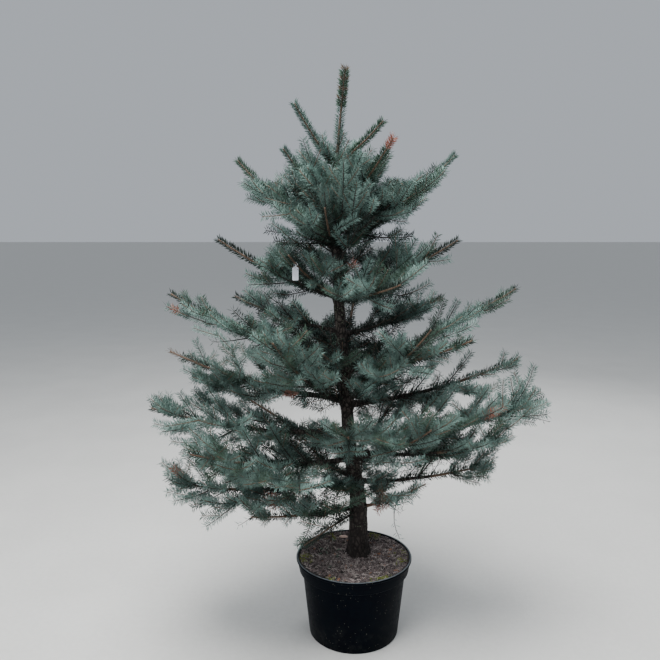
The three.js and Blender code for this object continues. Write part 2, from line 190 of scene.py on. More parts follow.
def groupWith(name, inputs, outputs):
    group = bpy.data.node_groups.new(name, "ShaderNodeTree")
    for label, kind, value in inputs:
        socket = group.interface.new_socket(label, in_out="INPUT", socket_type=kind)
        socket.default_value = value
    for label, kind in outputs:
        group.interface.new_socket(label, in_out="OUTPUT", socket_type=kind)
    return group, newNode(group, "NodeGroupInput"), newNode(group, "NodeGroupOutput")


def rampBetween(tree, low, high):
    ends = {"From Min": low, "From Max": high}
    return newNode(tree, "ShaderNodeMapRange", interpolation_type="SMOOTHSTEP", **ends)


def makeMottle():
    # two colours in soft patches of two sizes, and a mask of the same patches
    group, start, end = groupWith("mottle", [
        ("Color A", "NodeSocketColor", (0.2, 0.2, 0.2, 1)),
        ("Color B", "NodeSocketColor", (0.4, 0.4, 0.4, 1)),
        ("Coarse Scale", "NodeSocketFloat", 20.0),
        ("Fine Scale", "NodeSocketFloat", 200.0),
    ], [("Color", "NodeSocketColor"), ("Mask", "NodeSocketFloat")])
    place = newNode(group, "ShaderNodeTexCoord")
    coarse = newNode(group, "ShaderNodeTexNoise", Detail=3.0, Roughness=0.6)
    fine = newNode(group, "ShaderNodeTexNoise", Detail=2.0, Roughness=0.6)
    both = newNode(group, "ShaderNodeMath", operation="ADD")
    ramp = rampBetween(group, 0.75, 1.25)
    mix = newNode(group, "ShaderNodeMix", data_type="RGBA")
    wire(group,
         (place, "Object", coarse, "Vector"), (place, "Object", fine, "Vector"),
         (start, "Coarse Scale", coarse, "Scale"), (start, "Fine Scale", fine, "Scale"),
         (coarse, "Fac", both, 0), (fine, "Fac", both, 1), (both, 0, ramp, "Value"),
         (ramp, "Result", mix, "Factor"), (start, "Color A", mix, "A"), (start, "Color B", mix, "B"),
         (mix, "Result", end, "Color"), (ramp, "Result", end, "Mask"))
    return group


def makeSpecks():
    # small scattered specks of dirt or lichen: 1 on a speck, 0 between them
    group, start, end = groupWith("specks", [
        ("Scale", "NodeSocketFloat", 60.0),
        ("Size", "NodeSocketFloat", 0.2),
        ("Share", "NodeSocketFloat", 0.5),
    ], [("Mask", "NodeSocketFloat")])
    place = newNode(group, "ShaderNodeTexCoord")
    cells = newNode(group, "ShaderNodeTexVoronoi", Randomness=1.0)
    patch = newNode(group, "ShaderNodeTexNoise", Scale=9.0, Detail=2.0)
    near = newNode(group, "ShaderNodeMath", operation="LESS_THAN")
    pick = newNode(group, "ShaderNodeMath", operation="LESS_THAN")
    both = newNode(group, "ShaderNodeMath", operation="MULTIPLY")
    wire(group,
         (place, "Object", cells, "Vector"), (place, "Object", patch, "Vector"),
         (start, "Scale", cells, "Scale"), (cells, "Distance", near, 0), (start, "Size", near, 1),
         (patch, "Fac", pick, 0), (start, "Share", pick, 1), (near, 0, both, 0), (pick, 0, both, 1),
         (both, 0, end, "Mask"))
    return group


mottle = makeMottle()
specks = makeSpecks()


def placeGroup(tree, group, **values):
    # colorA sets the socket Color A, and so on
    node = newNode(tree, "ShaderNodeGroup", node_tree=group)
    for key, value in values.items():
        label = "".join(" " + letter if letter.isupper() else letter for letter in key).title()
        node.inputs[label].default_value = (*value, 1) if isinstance(value, tuple) else value
    return node


def mottledMaterial(name, colorA, colorB, coarse, fine, roughness, bump=0.0, bumpDistance=0.001,
                    specular=0.5):
    material, tree, shader = newMaterial(name, colorA, roughness, specular)
    patches = placeGroup(tree, mottle, colorA=colorA, colorB=colorB, coarseScale=coarse, fineScale=fine)
    ends = {"To Min": roughness * 0.85, "To Max": min(1, roughness * 1.15)}
    rough = newNode(tree, "ShaderNodeMapRange", **ends)
    wire(tree, (patches, "Color", shader, "Base Color"), (patches, "Mask", rough, "Value"),
         (rough, "Result", shader, "Roughness"))
    if bump:
        relief = newNode(tree, "ShaderNodeBump", Strength=bump, Distance=bumpDistance)
        wire(tree, (patches, "Mask", relief, "Height"), (relief, "Normal", shader, "Normal"))
    return material


def overlay(material, color, node, output):
    # lays a colour over what feeds Base Color, where the node's output is 1
    tree = material.node_tree
    shader = tree.nodes["Principled BSDF"]
    under = shader.inputs["Base Color"].links[0].from_socket
    mix = newNode(tree, "ShaderNodeMix", data_type="RGBA")
    mix.inputs["B"].default_value = (*color, 1)
    tree.links.new(under, mix.inputs["A"])
    wire(tree, (node, output, mix, "Factor"), (mix, "Result", shader, "Base Color"))


barkFinish = {
    "deep": (0.012, 0.010, 0.009), "plate": (0.096, 0.080, 0.070), "lichen": (0.085, 0.10, 0.07),
    "young": (0.080, 0.052, 0.038), "damp": (0.020, 0.016, 0.015), "roughness": 0.92, "specular": 0.25,
    "plateScale": 70.0, "plateStretch": (1.0, 1.0, 0.5), "crack": (0.02, 0.22), "grain": (55.0, 420.0),
    # heights in metres between which the wood turns young and brown, and between which a painted shade of the
    # crown darkens it towards the foot
    "youngFrom": (1.80, 2.0), "paintedFootShadeFrom": (1.0, 0.45), "paintedFootShadeShare": 0.5,
}


def makeBark():
    finish = barkFinish
    material, tree, shader = newMaterial("spruceBark", finish["plate"], finish["roughness"],
                                         finish["specular"])
    place = newNode(tree, "ShaderNodeTexCoord")
    stretch = newNode(tree, "ShaderNodeMapping", Scale=finish["plateStretch"])
    cells = newNode(tree, "ShaderNodeTexVoronoi", feature="DISTANCE_TO_EDGE", Scale=finish["plateScale"])
    crack = rampBetween(tree, *finish["crack"])
    coarse, fine = finish["grain"]
    grain = placeGroup(tree, mottle, colorA=finish["deep"], colorB=finish["plate"], coarseScale=coarse,
                       fineScale=fine)
    mix = newNode(tree, "ShaderNodeMix", data_type="RGBA")
    mix.inputs["A"].default_value = (*finish["deep"], 1)
    relief = newNode(tree, "ShaderNodeBump", Strength=0.8, Distance=0.002)
    split = newNode(tree, "ShaderNodeSeparateXYZ")
    young = rampBetween(tree, *finish["youngFrom"])
    # a painted shade of the crown, darkest at the trunk's foot
    low = rampBetween(tree, *finish["paintedFootShadeFrom"])
    damp = newNode(tree, "ShaderNodeMath", operation="MULTIPLY")
    damp.inputs[1].default_value = finish["paintedFootShadeShare"]
    wire(tree,
         (place, "Object", stretch, "Vector"), (stretch, "Vector", cells, "Vector"),
         (cells, "Distance", crack, "Value"), (crack, "Result", mix, "Factor"), (grain, "Color", mix, "B"),
         (mix, "Result", shader, "Base Color"), (crack, "Result", relief, "Height"),
         (relief, "Normal", shader, "Normal"), (place, "Object", split, 0), (split, "Z", young, "Value"),
         (split, "Z", low, "Value"), (low, "Result", damp, 0))
    overlay(material, finish["young"], young, "Result")
    # lays the painted shade of the crown over the bark towards the foot
    overlay(material, finish["damp"], damp, 0)
    lichen = placeGroup(tree, specks, scale=110.0, size=0.26, share=0.45)
    overlay(material, finish["lichen"], lichen, "Mask")
    return material


potFinish = {
    "color": (0.0004, 0.0012, 0.0034), "worn": (0.0010, 0.0026, 0.0050), "roughness": 0.42,
    "specular": 0.02, "dirt": (0.10, 0.095, 0.075), "dust": (0.06, 0.06, 0.052), "dustShare": 0.25,
    # heights in metres between which the dust fades out, and between which the lip turns pale, where it is
    # scuffed and carries a painted sheen of the sky
    "dustFrom": (0.16, 0.0), "lip": (0.12, 0.135, 0.145), "lipScuffAndSheenFrom": (0.3286, 0.3297),
}


def makePotPlastic():
    finish = potFinish
    material = mottledMaterial("potPlastic", finish["color"], finish["worn"], 7.0, 60.0,
                               finish["roughness"], 0.15, 0.0004, finish["specular"])
    tree = material.node_tree
    dirt = placeGroup(tree, specks, scale=80.0, size=0.115, share=0.51)
    place = newNode(tree, "ShaderNodeTexCoord")
    split = newNode(tree, "ShaderNodeSeparateXYZ")
    low = rampBetween(tree, *finish["dustFrom"])
    cloud = newNode(tree, "ShaderNodeTexNoise", Scale=26.0, Detail=5.0, Roughness=0.7)
    cut = rampBetween(tree, 0.45, 0.75)
    dust = newNode(tree, "ShaderNodeMath", operation="MULTIPLY")
    faint = newNode(tree, "ShaderNodeMath", operation="MULTIPLY")
    faint.inputs[1].default_value = finish["dustShare"]
    # the lip's pale top: scuffed, with a painted sheen of the sky
    lipScuffAndSheen = rampBetween(tree, *finish["lipScuffAndSheenFrom"])
    wire(tree,
         (place, "Object", split, 0), (split, "Z", low, "Value"), (place, "Object", cloud, "Vector"),
         (cloud, "Fac", cut, "Value"), (low, "Result", dust, 0), (cut, "Result", dust, 1),
         (dust, 0, faint, 0), (split, "Z", lipScuffAndSheen, "Value"))
    overlay(material, finish["dirt"], dirt, "Mask")
    overlay(material, finish["dust"], faint, 0)
    # lays the pale scuff and painted sheen round the top of the lip
    overlay(material, finish["lip"], lipScuffAndSheen, "Result")
    return material


needleFinish = {
    # plain base colours, dealt out by spray, and roughness: new growth, older growth, a near-black painted
    # shade for needles deep in the crown, dead
    "powder": ((0.124, 0.204, 0.179), (0.198, 0.304, 0.270), 0.60),
    "blue": ((0.069, 0.118, 0.102), (0.111, 0.174, 0.151), 0.62),
    "green": ((0.032, 0.063, 0.045), (0.064, 0.113, 0.079), 0.66),
    "inner": ((0.008, 0.016, 0.012), (0.018, 0.032, 0.023), 0.75),
    "rust": ((0.24, 0.086, 0.062), (0.35, 0.155, 0.118), 0.84),
    "drab": ((0.072, 0.054, 0.038), (0.12, 0.090, 0.062), 0.82),
}
# name, two colours, coarse and fine scale of their patches, roughness, strength and depth of the relief
finishes = {
    "oldTwig": ("oldTwigBark", (0.014, 0.011, 0.009), (0.046, 0.037, 0.030), 60.0, 500.0, 0.9, 0.5),
    "newTwig": ("newTwigBark", (0.080, 0.048, 0.031), (0.155, 0.095, 0.062), 60.0, 500.0, 0.75, 0.3),
    "soil": ("barkCompost", (0.004, 0.003, 0.003), (0.068, 0.053, 0.053), 38.0, 260.0, 0.96, 1.0, 0.003),
    "chip": ("barkChips", (0.011, 0.008, 0.008), (0.182, 0.142, 0.137), 90.0, 420.0, 0.92, 0.5),
    "redChip": ("redBarkChips", (0.14, 0.060, 0.035), (0.27, 0.15, 0.10), 90.0, 420.0, 0.88, 0.5),
    "fibre": ("peatFibres", (0.19, 0.155, 0.145), (0.58, 0.51, 0.48), 120.0, 600.0, 0.9),
    "moss": ("moss", (0.090, 0.115, 0.018), (0.210, 0.245, 0.048), 70.0, 400.0, 0.95),
    "paleChip": ("paleWoodChip", (0.58, 0.39, 0.32), (0.78, 0.60, 0.52), 90.0, 420.0, 0.85, 0.5),
    "tag": ("tagPlastic", (0.72, 0.75, 0.80), (0.80, 0.82, 0.86), 30.0, 240.0, 0.42),
}
materials = {key: mottledMaterial(*row) for key, row in finishes.items()}
materials.update(bark=makeBark(), pot=makePotPlastic())
for kind, (low, high, roughness) in needleFinish.items():
    materials[kind] = mottledMaterial("needles" + kind.title(), low, high, 16.0, 120.0, roughness,
                                      specular=0.35)
print("stage: materials")


# trunk and boughs by the source's rule

trunk = {
    # height, x, y, diameter
    "stations": [
        (312, 20, 55, 104), (345, 20, 55, 88), (460, 20, 54, 77), (560, 17, 53, 68), (790, -17, 50, 55),
        (1060, -38, 46, 49), (1400, -65, 40, 42), (1780, -74, 36, 27), (2000, -68, 35, 12),
        (2285, -42, 33, 6),
    ],
    "middleY": 45, "sides": 44, "rings": 420, "plateDepth": 1.5, "plateScale": 0.085, "plateStretch": 0.55,
    "flareHeight": 90, "fluteDepth": 5.0, "knotReach": 40, "knotSize": 0.45, "knotWidth": 15,
}
trunkLow, trunkHigh = trunk["stations"][0][0], trunk["stations"][-1][0]


def trunkSlope(i, column):
    stations = trunk["stations"]
    before = stations[max(i - 1, 0)]
    after = stations[min(i + 1, len(stations) - 1)]
    return (after[column] - before[column]) / (after[0] - before[0])


def trunkValue(height, column):
    stations = trunk["stations"]
    i = len(stations) - 2
    while i > 0 and stations[i][0] > height:
        i -= 1
    start, end = stations[i], stations[i + 1]
    span = end[0] - start[0]
    t = (height - start[0]) / span
    ease = t * t * (3 - 2 * t)
    bend = trunkSlope(i, column) * (t ** 3 - 2 * t ** 2 + t) + trunkSlope(i + 1, column) * (t ** 3 - t ** 2)
    return start[column] + (end[column] - start[column]) * ease + span * bend


def trunkAxis(height):
    return Vector((trunkValue(height, 1), trunkValue(height, 2), height))


def trunkRadius(height):
    return trunkValue(height, 3) / 2


whorls = [
    # of each bough: height, direction in degrees, reach, rise and sag
    {"bare": 0.3, "year": 150, "boughs": {
        "left": (518, 200, 462, 21, 18), "front": (502, 240, 430, 22, 6),
        "right": (514, 330, 300, 159, 14), "back": (522, 92, 430, 70, 16)}},
    {"bare": 0.3, "year": 150, "boughs": {
        "left": (634, 186, 755, 19, 34), "right": (630, 4, 563, 57, 26),
        "back": (640, 118, 560, 60, 24)}},
    {"bare": 0.28, "year": 150, "boughs": {
        "front_left": (732, 212, 700, 138, 34), "front_right": (738, 304, 480, 230, 34),
        "right": (762, 343, 627, 108, 34), "back_right": (742, 62, 570, 200, 30),
        "back_left": (748, 146, 610, 180, 30)}},
    {"bare": 0.26, "year": 150, "boughs": {
        "left": (850, 191, 787, 134, 40), "front": (838, 268, 350, 90, 16),
        "right": (846, 355, 780, 150, 44), "back": (858, 98, 640, 230, 36)}},
    {"bare": 0.24, "year": 150, "boughs": {
        "left": (985, 171, 758, 178, 36), "front_left": (965, 237, 490, 317, 34),
        "front_right": (978, 312, 438, 338, 30), "right": (962, 12, 760, 160, 40),
        "back": (990, 108, 610, 290, 34)}},
    {"bare": 0.15, "year": 150, "boughs": {
        "left": (1112, 187, 683, 313, 34), "front": (1122, 254, 300, 100, 14),
        "front_right": (1104, 328, 540, 168, 26), "right": (1118, 9, 732, 312, 38),
        "back": (1130, 82, 560, 320, 32)}},
    {"bare": 0.15, "year": 150, "boughs": {
        "left": (1266, 176, 431, 141, 18), "back_right": (1254, 38, 590, 120, 24)}},
    {"bare": 0.12, "year": 145, "boughs": {
        "left": (1404, 183, 475, 231, 24), "front_left": (1412, 235, 320, 168, 16),
        "front_right": (1396, 305, 375, 80, 14), "right": (1416, 355, 467, 216, 24),
        "back": (1400, 88, 430, 230, 22)}},
    {"bare": 0.1, "year": 140, "boughs": {
        "left": (1590, 182, 387, 349, 24), "front": (1604, 262, 330, 140, 14),
        "right": (1592, 4, 466, 373, 28), "back": (1582, 78, 409, 190, 18)}},
    {"bare": 0.08, "year": 120, "boughs": {
        "left": (1742, 197, 213, 235, 12), "front": (1760, 245, 250, 130, 10),
        "front_right": (1736, 312, 297, 258, 14), "right": (1748, 5, 275, 70, 12),
        "back": (1752, 85, 330, 257, 14)}},
    {"bare": 0.05, "year": 110, "boughs": {
        "left": (1906, 208, 182, 232, 8), "right": (1922, 330, 196, 151, 8),
        "back": (1912, 70, 240, 130, 8)}},
]

limb = {
    "newYears": 1.7, "tipRadius": 2.9, "taper": 0.0125, "pathSteps": 10, "collar": 0.55, "collarLength": 22,
    "stepsPerYear": 14, "wander": 2.0, "wanderSeed": 1795993774, "knot": 0.16, "knotLength": 7,
    "relief": 0.07, "sides": (9, 6),
    # the bough with a thinner limb, how thin that is, and the needles on limbs that carry many or few
    "thin": "1_front", "thinShare": 0.6, "manyNeedles": 2.1, "fewNeedles": 1.25,
}


def describeBoughs():
    found = []
    for level, whorl in enumerate(whorls):
        for place, (side, row) in enumerate(whorl["boughs"].items()):
            height, direction, reach, rise, sag = row
            out = levelWay(math.radians(direction))
            years = max(2, math.floor(math.hypot(reach, rise) / whorl["year"] + 0.5))
            found.append({
                "name": f"{level + 1}_{side}", "keys": (level + 1, place), "whorl": level + 1,
                "foot": trunkAxis(height), "out": out, "aside": up.cross(out), "reach": reach, "rise": rise,
                "sag": sag, "drift": (chance(level + 1, place, 1) - 0.5) * 0.08 * reach, "years": years,
                "firstNode": max(1, math.ceil(whorl["bare"] * years)), "length": math.hypot(reach, rise),
            })
    return found


def boughPoint(bough, t):
    return (bough["foot"] + bough["out"] * bough["reach"] * t
            + bough["aside"] * bough["drift"] * math.sin(math.pi * t)
            + up * (bough["rise"] * t - 4 * bough["sag"] * t * (1 - t)))


def boughHeading(bough, t):
    return (boughPoint(bough, t + 0.01) - boughPoint(bough, t - 0.01)).normalized()


def limbRadius(bough, t):
    radius = limb["tipRadius"] + bough["reach"] * limb["taper"] * (1 - t)
    return radius * (limb["thinShare"] if bough["name"] == limb["thin"] else 1)


boughs = describeBoughs()
boughPaths = np.array([[boughPoint(bough, i / limb["pathSteps"]) for i in range(limb["pathSteps"] + 1)]
                       for bough in boughs])
print("stage:", len(boughs), "boughs described")


view = {"place": (-0.100, -2.610, 1.640), "pitch": 7.9, "lens": 36, "sensor": 36, "picture": 660}
focal = view["lens"] / view["sensor"] * view["picture"]
pitch = math.radians(view["pitch"])


def pictureOf(points):
    # where points in millimetres fall in the picture, in pixels, and how deep
    rel = np.asarray(points) * mm - np.array(view["place"])
    depth = rel[..., 1] * math.cos(pitch) - rel[..., 2] * math.sin(pitch)
    rise = rel[..., 1] * math.sin(pitch) + rel[..., 2] * math.cos(pitch)
    middle = view["picture"] / 2
    return middle + focal * rel[..., 0] / depth, middle - focal * rise / depth, depth


def isInEllipse(u, v, x, y, halfWide, halfTall):
    return np.hypot((u - x) / halfWide, (v - y) / halfTall) < 1


# the room that twigs keep to

room = {
    "trunkMargin": 6, "potMargin": 10, "shareBorder": 55, "tagSide": 16, "tagClear": 4, "outside": 4,
    # nothing but the front bough hangs before the trunk's foot
    "footLow": (-46, -460, 320), "footHigh": (78, 18, 590),
    # where light shows through the crown: middle and half size in the picture, share of the twigs left out
    "gaps": [
        (252, 248, 17, 14, 0.9), (317, 311, 13, 13, 0.8), (360, 311, 13, 12, 0.85), (419, 331, 14, 13, 0.9),
        (450, 311, 20, 13, 0.7), (424, 240, 24, 20, 0.6), (300, 409, 40, 12, 0.85), (474, 370, 34, 13, 0.9),
        (236, 309, 13, 9, 0.6), (400, 391, 16, 8, 0.5), (432, 478, 26, 12, 0.7), (288, 530, 20, 14, 0.8),
        (240, 331, 11, 11, 0.85), (178, 350, 13, 10, 0.8), (219, 350, 13, 9, 0.6), (259, 398, 15, 16, 0.6),
        (399, 489, 12, 10, 0.7), (330, 532, 30, 14, 0.8), (409, 164, 19, 15, 0.95), (264, 168, 18, 13, 0.95),
        (424, 388, 11, 8, 0.8), (460, 402, 10, 7, 0.6), (477, 293, 16, 9, 0.95), (180, 366, 13, 12, 0.75),
        (346, 412, 11, 27, 0.88), (421, 509, 18, 9, 1.0),
    ],
    # a gap leaves out all or none of a bough's twigs within a slice of the crown this deep
    "slice": 40, "sliceDraw": (12.9898, 78.233, 43758.5453),
    # where the needles take the darker green as painted shade: middle and half size in the picture
    "dull": [(324, 528, 34, 20), (344, 499, 26, 16)],
}
potSize = {
    "height": 330, "foot": 186, "neck": 214, "collarHeight": 60, "collar": 227, "lip": 240, "lipHeight": 9,
    "wall": 4, "steps": 96,
}
tag = {"width": 24, "length": 62, "thickness": 0.7, "bough": "8_front_left", "place": 0.86, "turn": 20,
       "loop": 8}
tagBough = next(bough for bough in boughs if bough["name"] == tag["bough"])
tagTop = boughPoint(tagBough, tag["place"])
tagCentre = np.array(tagTop - up * tag["length"] / 2)


def distancesToPaths(points):
    # distance of each point to each bough's path, in batches
    batch = 2000
    starts, ends = boughPaths[:, :-1].reshape(-1, 3), boughPaths[:, 1:].reshape(-1, 3)
    run = ends - starts
    square = (run ** 2).sum(1)
    result = np.empty((len(points), len(boughPaths)))
    for low in range(0, len(points), batch):
        part = points[low:low + batch, None, :] - starts[None]
        t = np.clip((part * run).sum(2) / square, 0, 1)
        gap = np.sqrt(((part - t[..., None] * run) ** 2).sum(2))
        result[low:low + batch] = gap.reshape(len(gap), len(boughPaths), -1).min(2)
    return result


trunkTable = np.array([(height, *trunkAxis(height)[:2], trunkRadius(height))
                       for height in range(trunkLow, trunkHigh + 6, 6)])


def isInRoom(points, owners):
    # owners is the bough's number, or -1 for a shoot on the trunk
    height = np.clip(points[:, 2], trunkLow, trunkHigh)
    axis = [np.interp(height, trunkTable[:, 0], trunkTable[:, i]) for i in (1, 2, 3)]
    fromTrunk = np.hypot(points[:, 0] - axis[0], points[:, 1] - axis[1])
    good = (fromTrunk > axis[2] + room["trunkMargin"]) | (owners < 0)
    good &= points[:, 2] > potSize["height"] + room["potMargin"]
    low, high = np.array(cadBox) / mm
    good &= ((points > low - room["outside"]) & (points < high + room["outside"])).all(1)
    good &= ~(((points > room["footLow"]) & (points < room["footHigh"])).all(1))
    u, v, _ = pictureOf(points)
    byOwner, bySlice, scale = room["sliceDraw"]
    draw = (np.abs(np.sin(owners * byOwner + np.floor(points[:, 1] / room["slice"]) * bySlice)) * scale) % 1
    for *ellipse, share in room["gaps"]:
        good &= ~(isInEllipse(u, v, *ellipse) & (draw < share))
    tagHalf = np.array([tag["width"] / 2 + room["tagSide"], tag["width"] / 2 + room["tagSide"],
                        tag["length"] / 2 + room["tagClear"]])
    good &= ~((np.abs(points - tagCentre) < tagHalf).all(1))
    gaps = distancesToPaths(points)
    own = gaps[np.arange(len(points)), np.maximum(owners, 0)]
    gaps[np.arange(len(points)), np.maximum(owners, 0)] = np.inf
    return good & ((own < gaps.min(1) + room["shareBorder"]) | (owners < 0))


# growth: side twigs as in the source, carried on to finer ones

growth = {
    "angle": (46, 64), "mostLength": 340, "spread": (0.85, 1.1), "nodeBack": 0.12, "halfYearShare": 0.62,
    # by tier: last whorl, shortest side twig, gain along the bough, lift, share of the shoots on top,
    # share of the hanging ones, and the years at the tip that carry no side twigs
    "tiers": [
        (1, 100, 0.58, (-8, 24), 0.60, 0.30, 0), (3, 110, 0.60, (-24, 22), 0.60, 0.70, 0),
        (5, 100, 0.60, (-22, 22), 0.60, 0.72, 0), (7, 66, 0.54, (-6, 14), 0.50, 0.45, 0),
        (8, 92, 0.66, (-4, 22), 0.60, 0.60, 0.6), (9, 96, 0.76, (-4, 22), 0.62, 0.60, 1.3),
        (10, 74, 0.66, (2, 24), 0.50, 0.40, 1.2), (11, 30, 0.22, (8, 24), 0.30, 0.0, 1.1),
    ],
    # shoots on top of a bough: lift, lean and how many half years have one
    "topLift": 44, "topLean": 0.9, "topHalfYears": 0.5,
    # hanging shoots: lean, drop and how many years and half years have one
    "hangLean": 1.4, "hangDrop": (0.35, 0.75), "hangYears": 0.8, "hangHalfYears": 0.4,
    # finer twigs: length of a year by level, then their angles, lengths and how many half years lack one
    "yearLength": (0, 0, 96, 78, 64), "fineAngle": (40, 56), "fineLift": (0, 20), "fineShare": 0.56,
    "fineBase": 36, "fineSpread": (0.8, 1.15), "fineMissing": 0.45, "fineTop": 0.5, "fineTopYears": 0.6,
    "fineTopLift": (28, 50), "fineTopLean": 0.6, "curl": (0.05, 0.26), "sway": 0.16, "shortest": 46,
    "lastLevel": 4, "steps": 5, "lastSteps": 3,
}
# the first key of the shoots that don't grow from a bough's nodes
firstKey = {"trunk": 90, "tuft": 91, "own": 95, "forked": 96}
twigs = []


def addTwig(points, level, owner, ages, keys, parent, bare=False):
    # ages are the years at its tip and at its foot; full stays as it is when points are cut short
    path = np.array(points)
    twigs.append({"points": path, "full": path, "level": level, "owner": owner, "ages": ages, "keys": keys,
                  "parent": parent, "keep": True, "bare": bare})
    return len(twigs) - 1


def turned(ahead, side, turn, lift):
    return (ahead * math.cos(turn) + side * math.sin(turn) + up * math.tan(lift)).normalized()


def growTwig(root, heading, length, level, owner, keys, parent):
    if length < growth["shortest"]:
        return
    years = max(1, round(length / growth["yearLength"][level]))
    across = heading.cross(up).normalized()
    curl = drawn(growth["curl"], *keys, 11)
    sway = (chance(*keys, 12) - 0.5) * growth["sway"]

    def at(t):
        return root + heading * (length * t) + up * (curl * length * t * t) + across * (sway * length * t * t)

    steps = growth["steps"] if level < growth["lastLevel"] else growth["lastSteps"]
    number = addTwig([at(i / steps) for i in range(steps + 1)], level, owner, (0, years), keys, parent)
    if level >= growth["lastLevel"] or years < 2:
        return
    for half in range(2, 2 * years):
        t = half / (2 * years)
        isNode = half % 2 == 0
        left = (1 - t) * length
        full = growth["fineBase"] + growth["fineShare"] * left
        ahead = (at(min(1, t + 0.02)) - at(t - 0.02)).normalized()
        side = ahead.cross(up).normalized()
        for hand in (1, -1):
            handKeys = (*keys, half, hand + 2)
            if not isNode and chance(*handKeys, 20) < growth["fineMissing"]:
                continue
            share = 1 if isNode else growth["halfYearShare"]
            reach = full * share * drawn(growth["fineSpread"], *handKeys, 21)
            turn = math.radians(drawn(growth["fineAngle"], *handKeys, 22)) * hand
            lift = math.radians(drawn(growth["fineLift"], *handKeys, 23))
            growTwig(at(t), turned(ahead, side, turn, lift), reach, level + 1, owner, handKeys, number)
        if isNode and chance(*keys, half, 24) < growth["fineTopYears"]:
            lift = math.tan(math.radians(drawn(growth["fineTopLift"], *keys, half, 25)))
            lean = chance(*keys, half, 26) - 0.5
            way = (ahead + side * lean * growth["fineTopLean"] + up * lift).normalized()
            growTwig(at(t), way, full * growth["fineTop"], level + 1, owner, (*keys, half, 7), number)


def growBough(number, bough):
    keys, years, length = bough["keys"], bough["years"], bough["length"]
    steps = max(8, 3 * years)
    points = [boughPoint(bough, i / steps) for i in range(steps + 1)]
    _, base, gain, lifts, topShare, hangShare, bareYears = next(
        tier for tier in growth["tiers"] if bough["whorl"] <= tier[0])
    axis = addTwig(points, 1, number, (0, years), keys, -1)
    for half in range(2 * bough["firstNode"] - 1, 2 * years):
        isNode = half % 2 == 0
        t = half / (2 * years)
        if (1 - t) * years < bareYears:
            continue
        spread = min(base + gain * (1 - t) * length, growth["mostLength"])
        root = boughPoint(bough, t - growth["nodeBack"] / years * isNode)
        ahead = boughHeading(bough, t)
        side = ahead.cross(up).normalized()
        for hand in (1, -1):
            handKeys = (*keys, half // 2 if isNode else half + 50, hand + 2)
            turn = math.radians(drawn(growth["angle"], *handKeys, 1)) * hand
            lift = math.radians(drawn(lifts, *handKeys, 2))
            share = 1 if isNode else growth["halfYearShare"]
            size = spread * drawn(growth["spread"], *handKeys, 4) * share
            growTwig(root, turned(ahead, side, turn, lift), size, 2, number, handKeys, axis)
        if isNode or chance(*keys, half, 31) < growth["topHalfYears"]:
            lean = (chance(*keys, half, 32) - 0.5) * growth["topLean"]
            way = (ahead + side * lean + up * math.tan(math.radians(growth["topLift"]))).normalized()
            growTwig(root, way, spread * topShare, 2, number, (*keys, half, 5), axis)
        hanging = growth["hangYears"] if isNode else growth["hangHalfYears"]
        if chance(*keys, half, 33) < hanging and hangShare > 0:
            lean = (chance(*keys, half, 34) - 0.5) * growth["hangLean"]
            way = (ahead + side * lean - up * drawn(growth["hangDrop"], *keys, half, 35)).normalized()
            growTwig(root, way, spread * hangShare, 2, number, (*keys, half, 6), axis)
    return axis


tipFan = {"lastWhorl": 5, "from": (0.80, 0.92), "length": (95, 150), "angles": (-52, -30, 34, 50),
          "swing": 12, "lift": (-4, 34)}


def growTipFan(number, bough, axis):
    # the strong young shoots that end a bough in a fan
    for place, angle in enumerate(tipFan["angles"]):
        keys = (*bough["keys"], 80, place)
        t = drawn(tipFan["from"], *keys, 1)
        ahead = boughHeading(bough, t)
        side = ahead.cross(up).normalized()
        turn = math.radians(angle + tipFan["swing"] * (chance(*keys, 2) - 0.5))
        lift = math.radians(drawn(tipFan["lift"], *keys, 3))
        way = turned(ahead, side, turn, lift)
        growTwig(boughPoint(bough, t), way, drawn(tipFan["length"], *keys, 4), 3, number, keys, axis)


trunkShoots = {
    # from height, to height, spacing, longest, shortest, rise of the heading
    "bands": [(1500, 1600, 20, 200, 240, 0.5), (1600, 1850, 10, 350, 210, 0.7),
              (1850, 2040, 24, 105, 60, 0.9), (1080, 1240, 34, 150, 90, 0.45),
              (600, 1060, 26, 190, 110, 0.2)],
    "swing": 0.8, "length": (0.7, 1.1), "rise": (0.7, 1.3), "rootDepth": 0.6, "forkTwiceFrom": 150,
    # height, direction in degrees and length of the tufts that hang before its bare foot, and their rise
    "tufts": [(604, 232, 120), (612, 262, 105), (622, 210, 130), (632, 284, 90), (598, 202, 120),
              (646, 248, 100), (610, 246, 80)],
    "tuftRise": 0.1,
}


def trunkRoot(height, out):
    return trunkAxis(height) + out * trunkRadius(height) * trunkShoots["rootDepth"]


def growTrunkShoots():
    count = 0
    for low, high, spacing, longest, shortest, rise in trunkShoots["bands"]:
        for height in range(low, high, spacing):
            out = levelWay(count * goldenTurn + chance(count, 40) * trunkShoots["swing"])
            share = (height - low) / (high - low)
            length = between((longest, shortest), share) * drawn(trunkShoots["length"], count, 41)
            way = (out + up * rise * drawn(trunkShoots["rise"], count, 42)).normalized()
            level = 3 if length < trunkShoots["forkTwiceFrom"] else 2
            growTwig(trunkRoot(height, out), way, length, level, -1, (firstKey["trunk"], count), -1)
            count += 1
    for place, (height, direction, length) in enumerate(trunkShoots["tufts"]):
        out = levelWay(math.radians(direction))
        way = (out + up * trunkShoots["tuftRise"]).normalized()
        growTwig(trunkRoot(height, out), way, length, 3, -1, (firstKey["tuft"], place), -1)


bareTwigs = {
    "lastWhorl": 7, "fromTrunk": 14, "endShare": 0.62, "spacing": 24, "spacingSwing": (0.6, 1.4),
    "length": (55, 165), "lengthPower": 1.3, "ahead": (0.2, 1.1), "rise": 0.8, "bend": 0.35, "droop": 0.4,
    # forks: how many are missing, share of the twig's length, swing of that, lean, rise and curl
    "forkMissing": 0.25, "forkShare": 0.5, "forkSwing": (0.5, 1.1), "forkLean": (0.5, 1.0), "forkRise": 0.7,
    "forkCurl": 0.1, "ages": (5, 7), "forkAges": (4, 5),
}


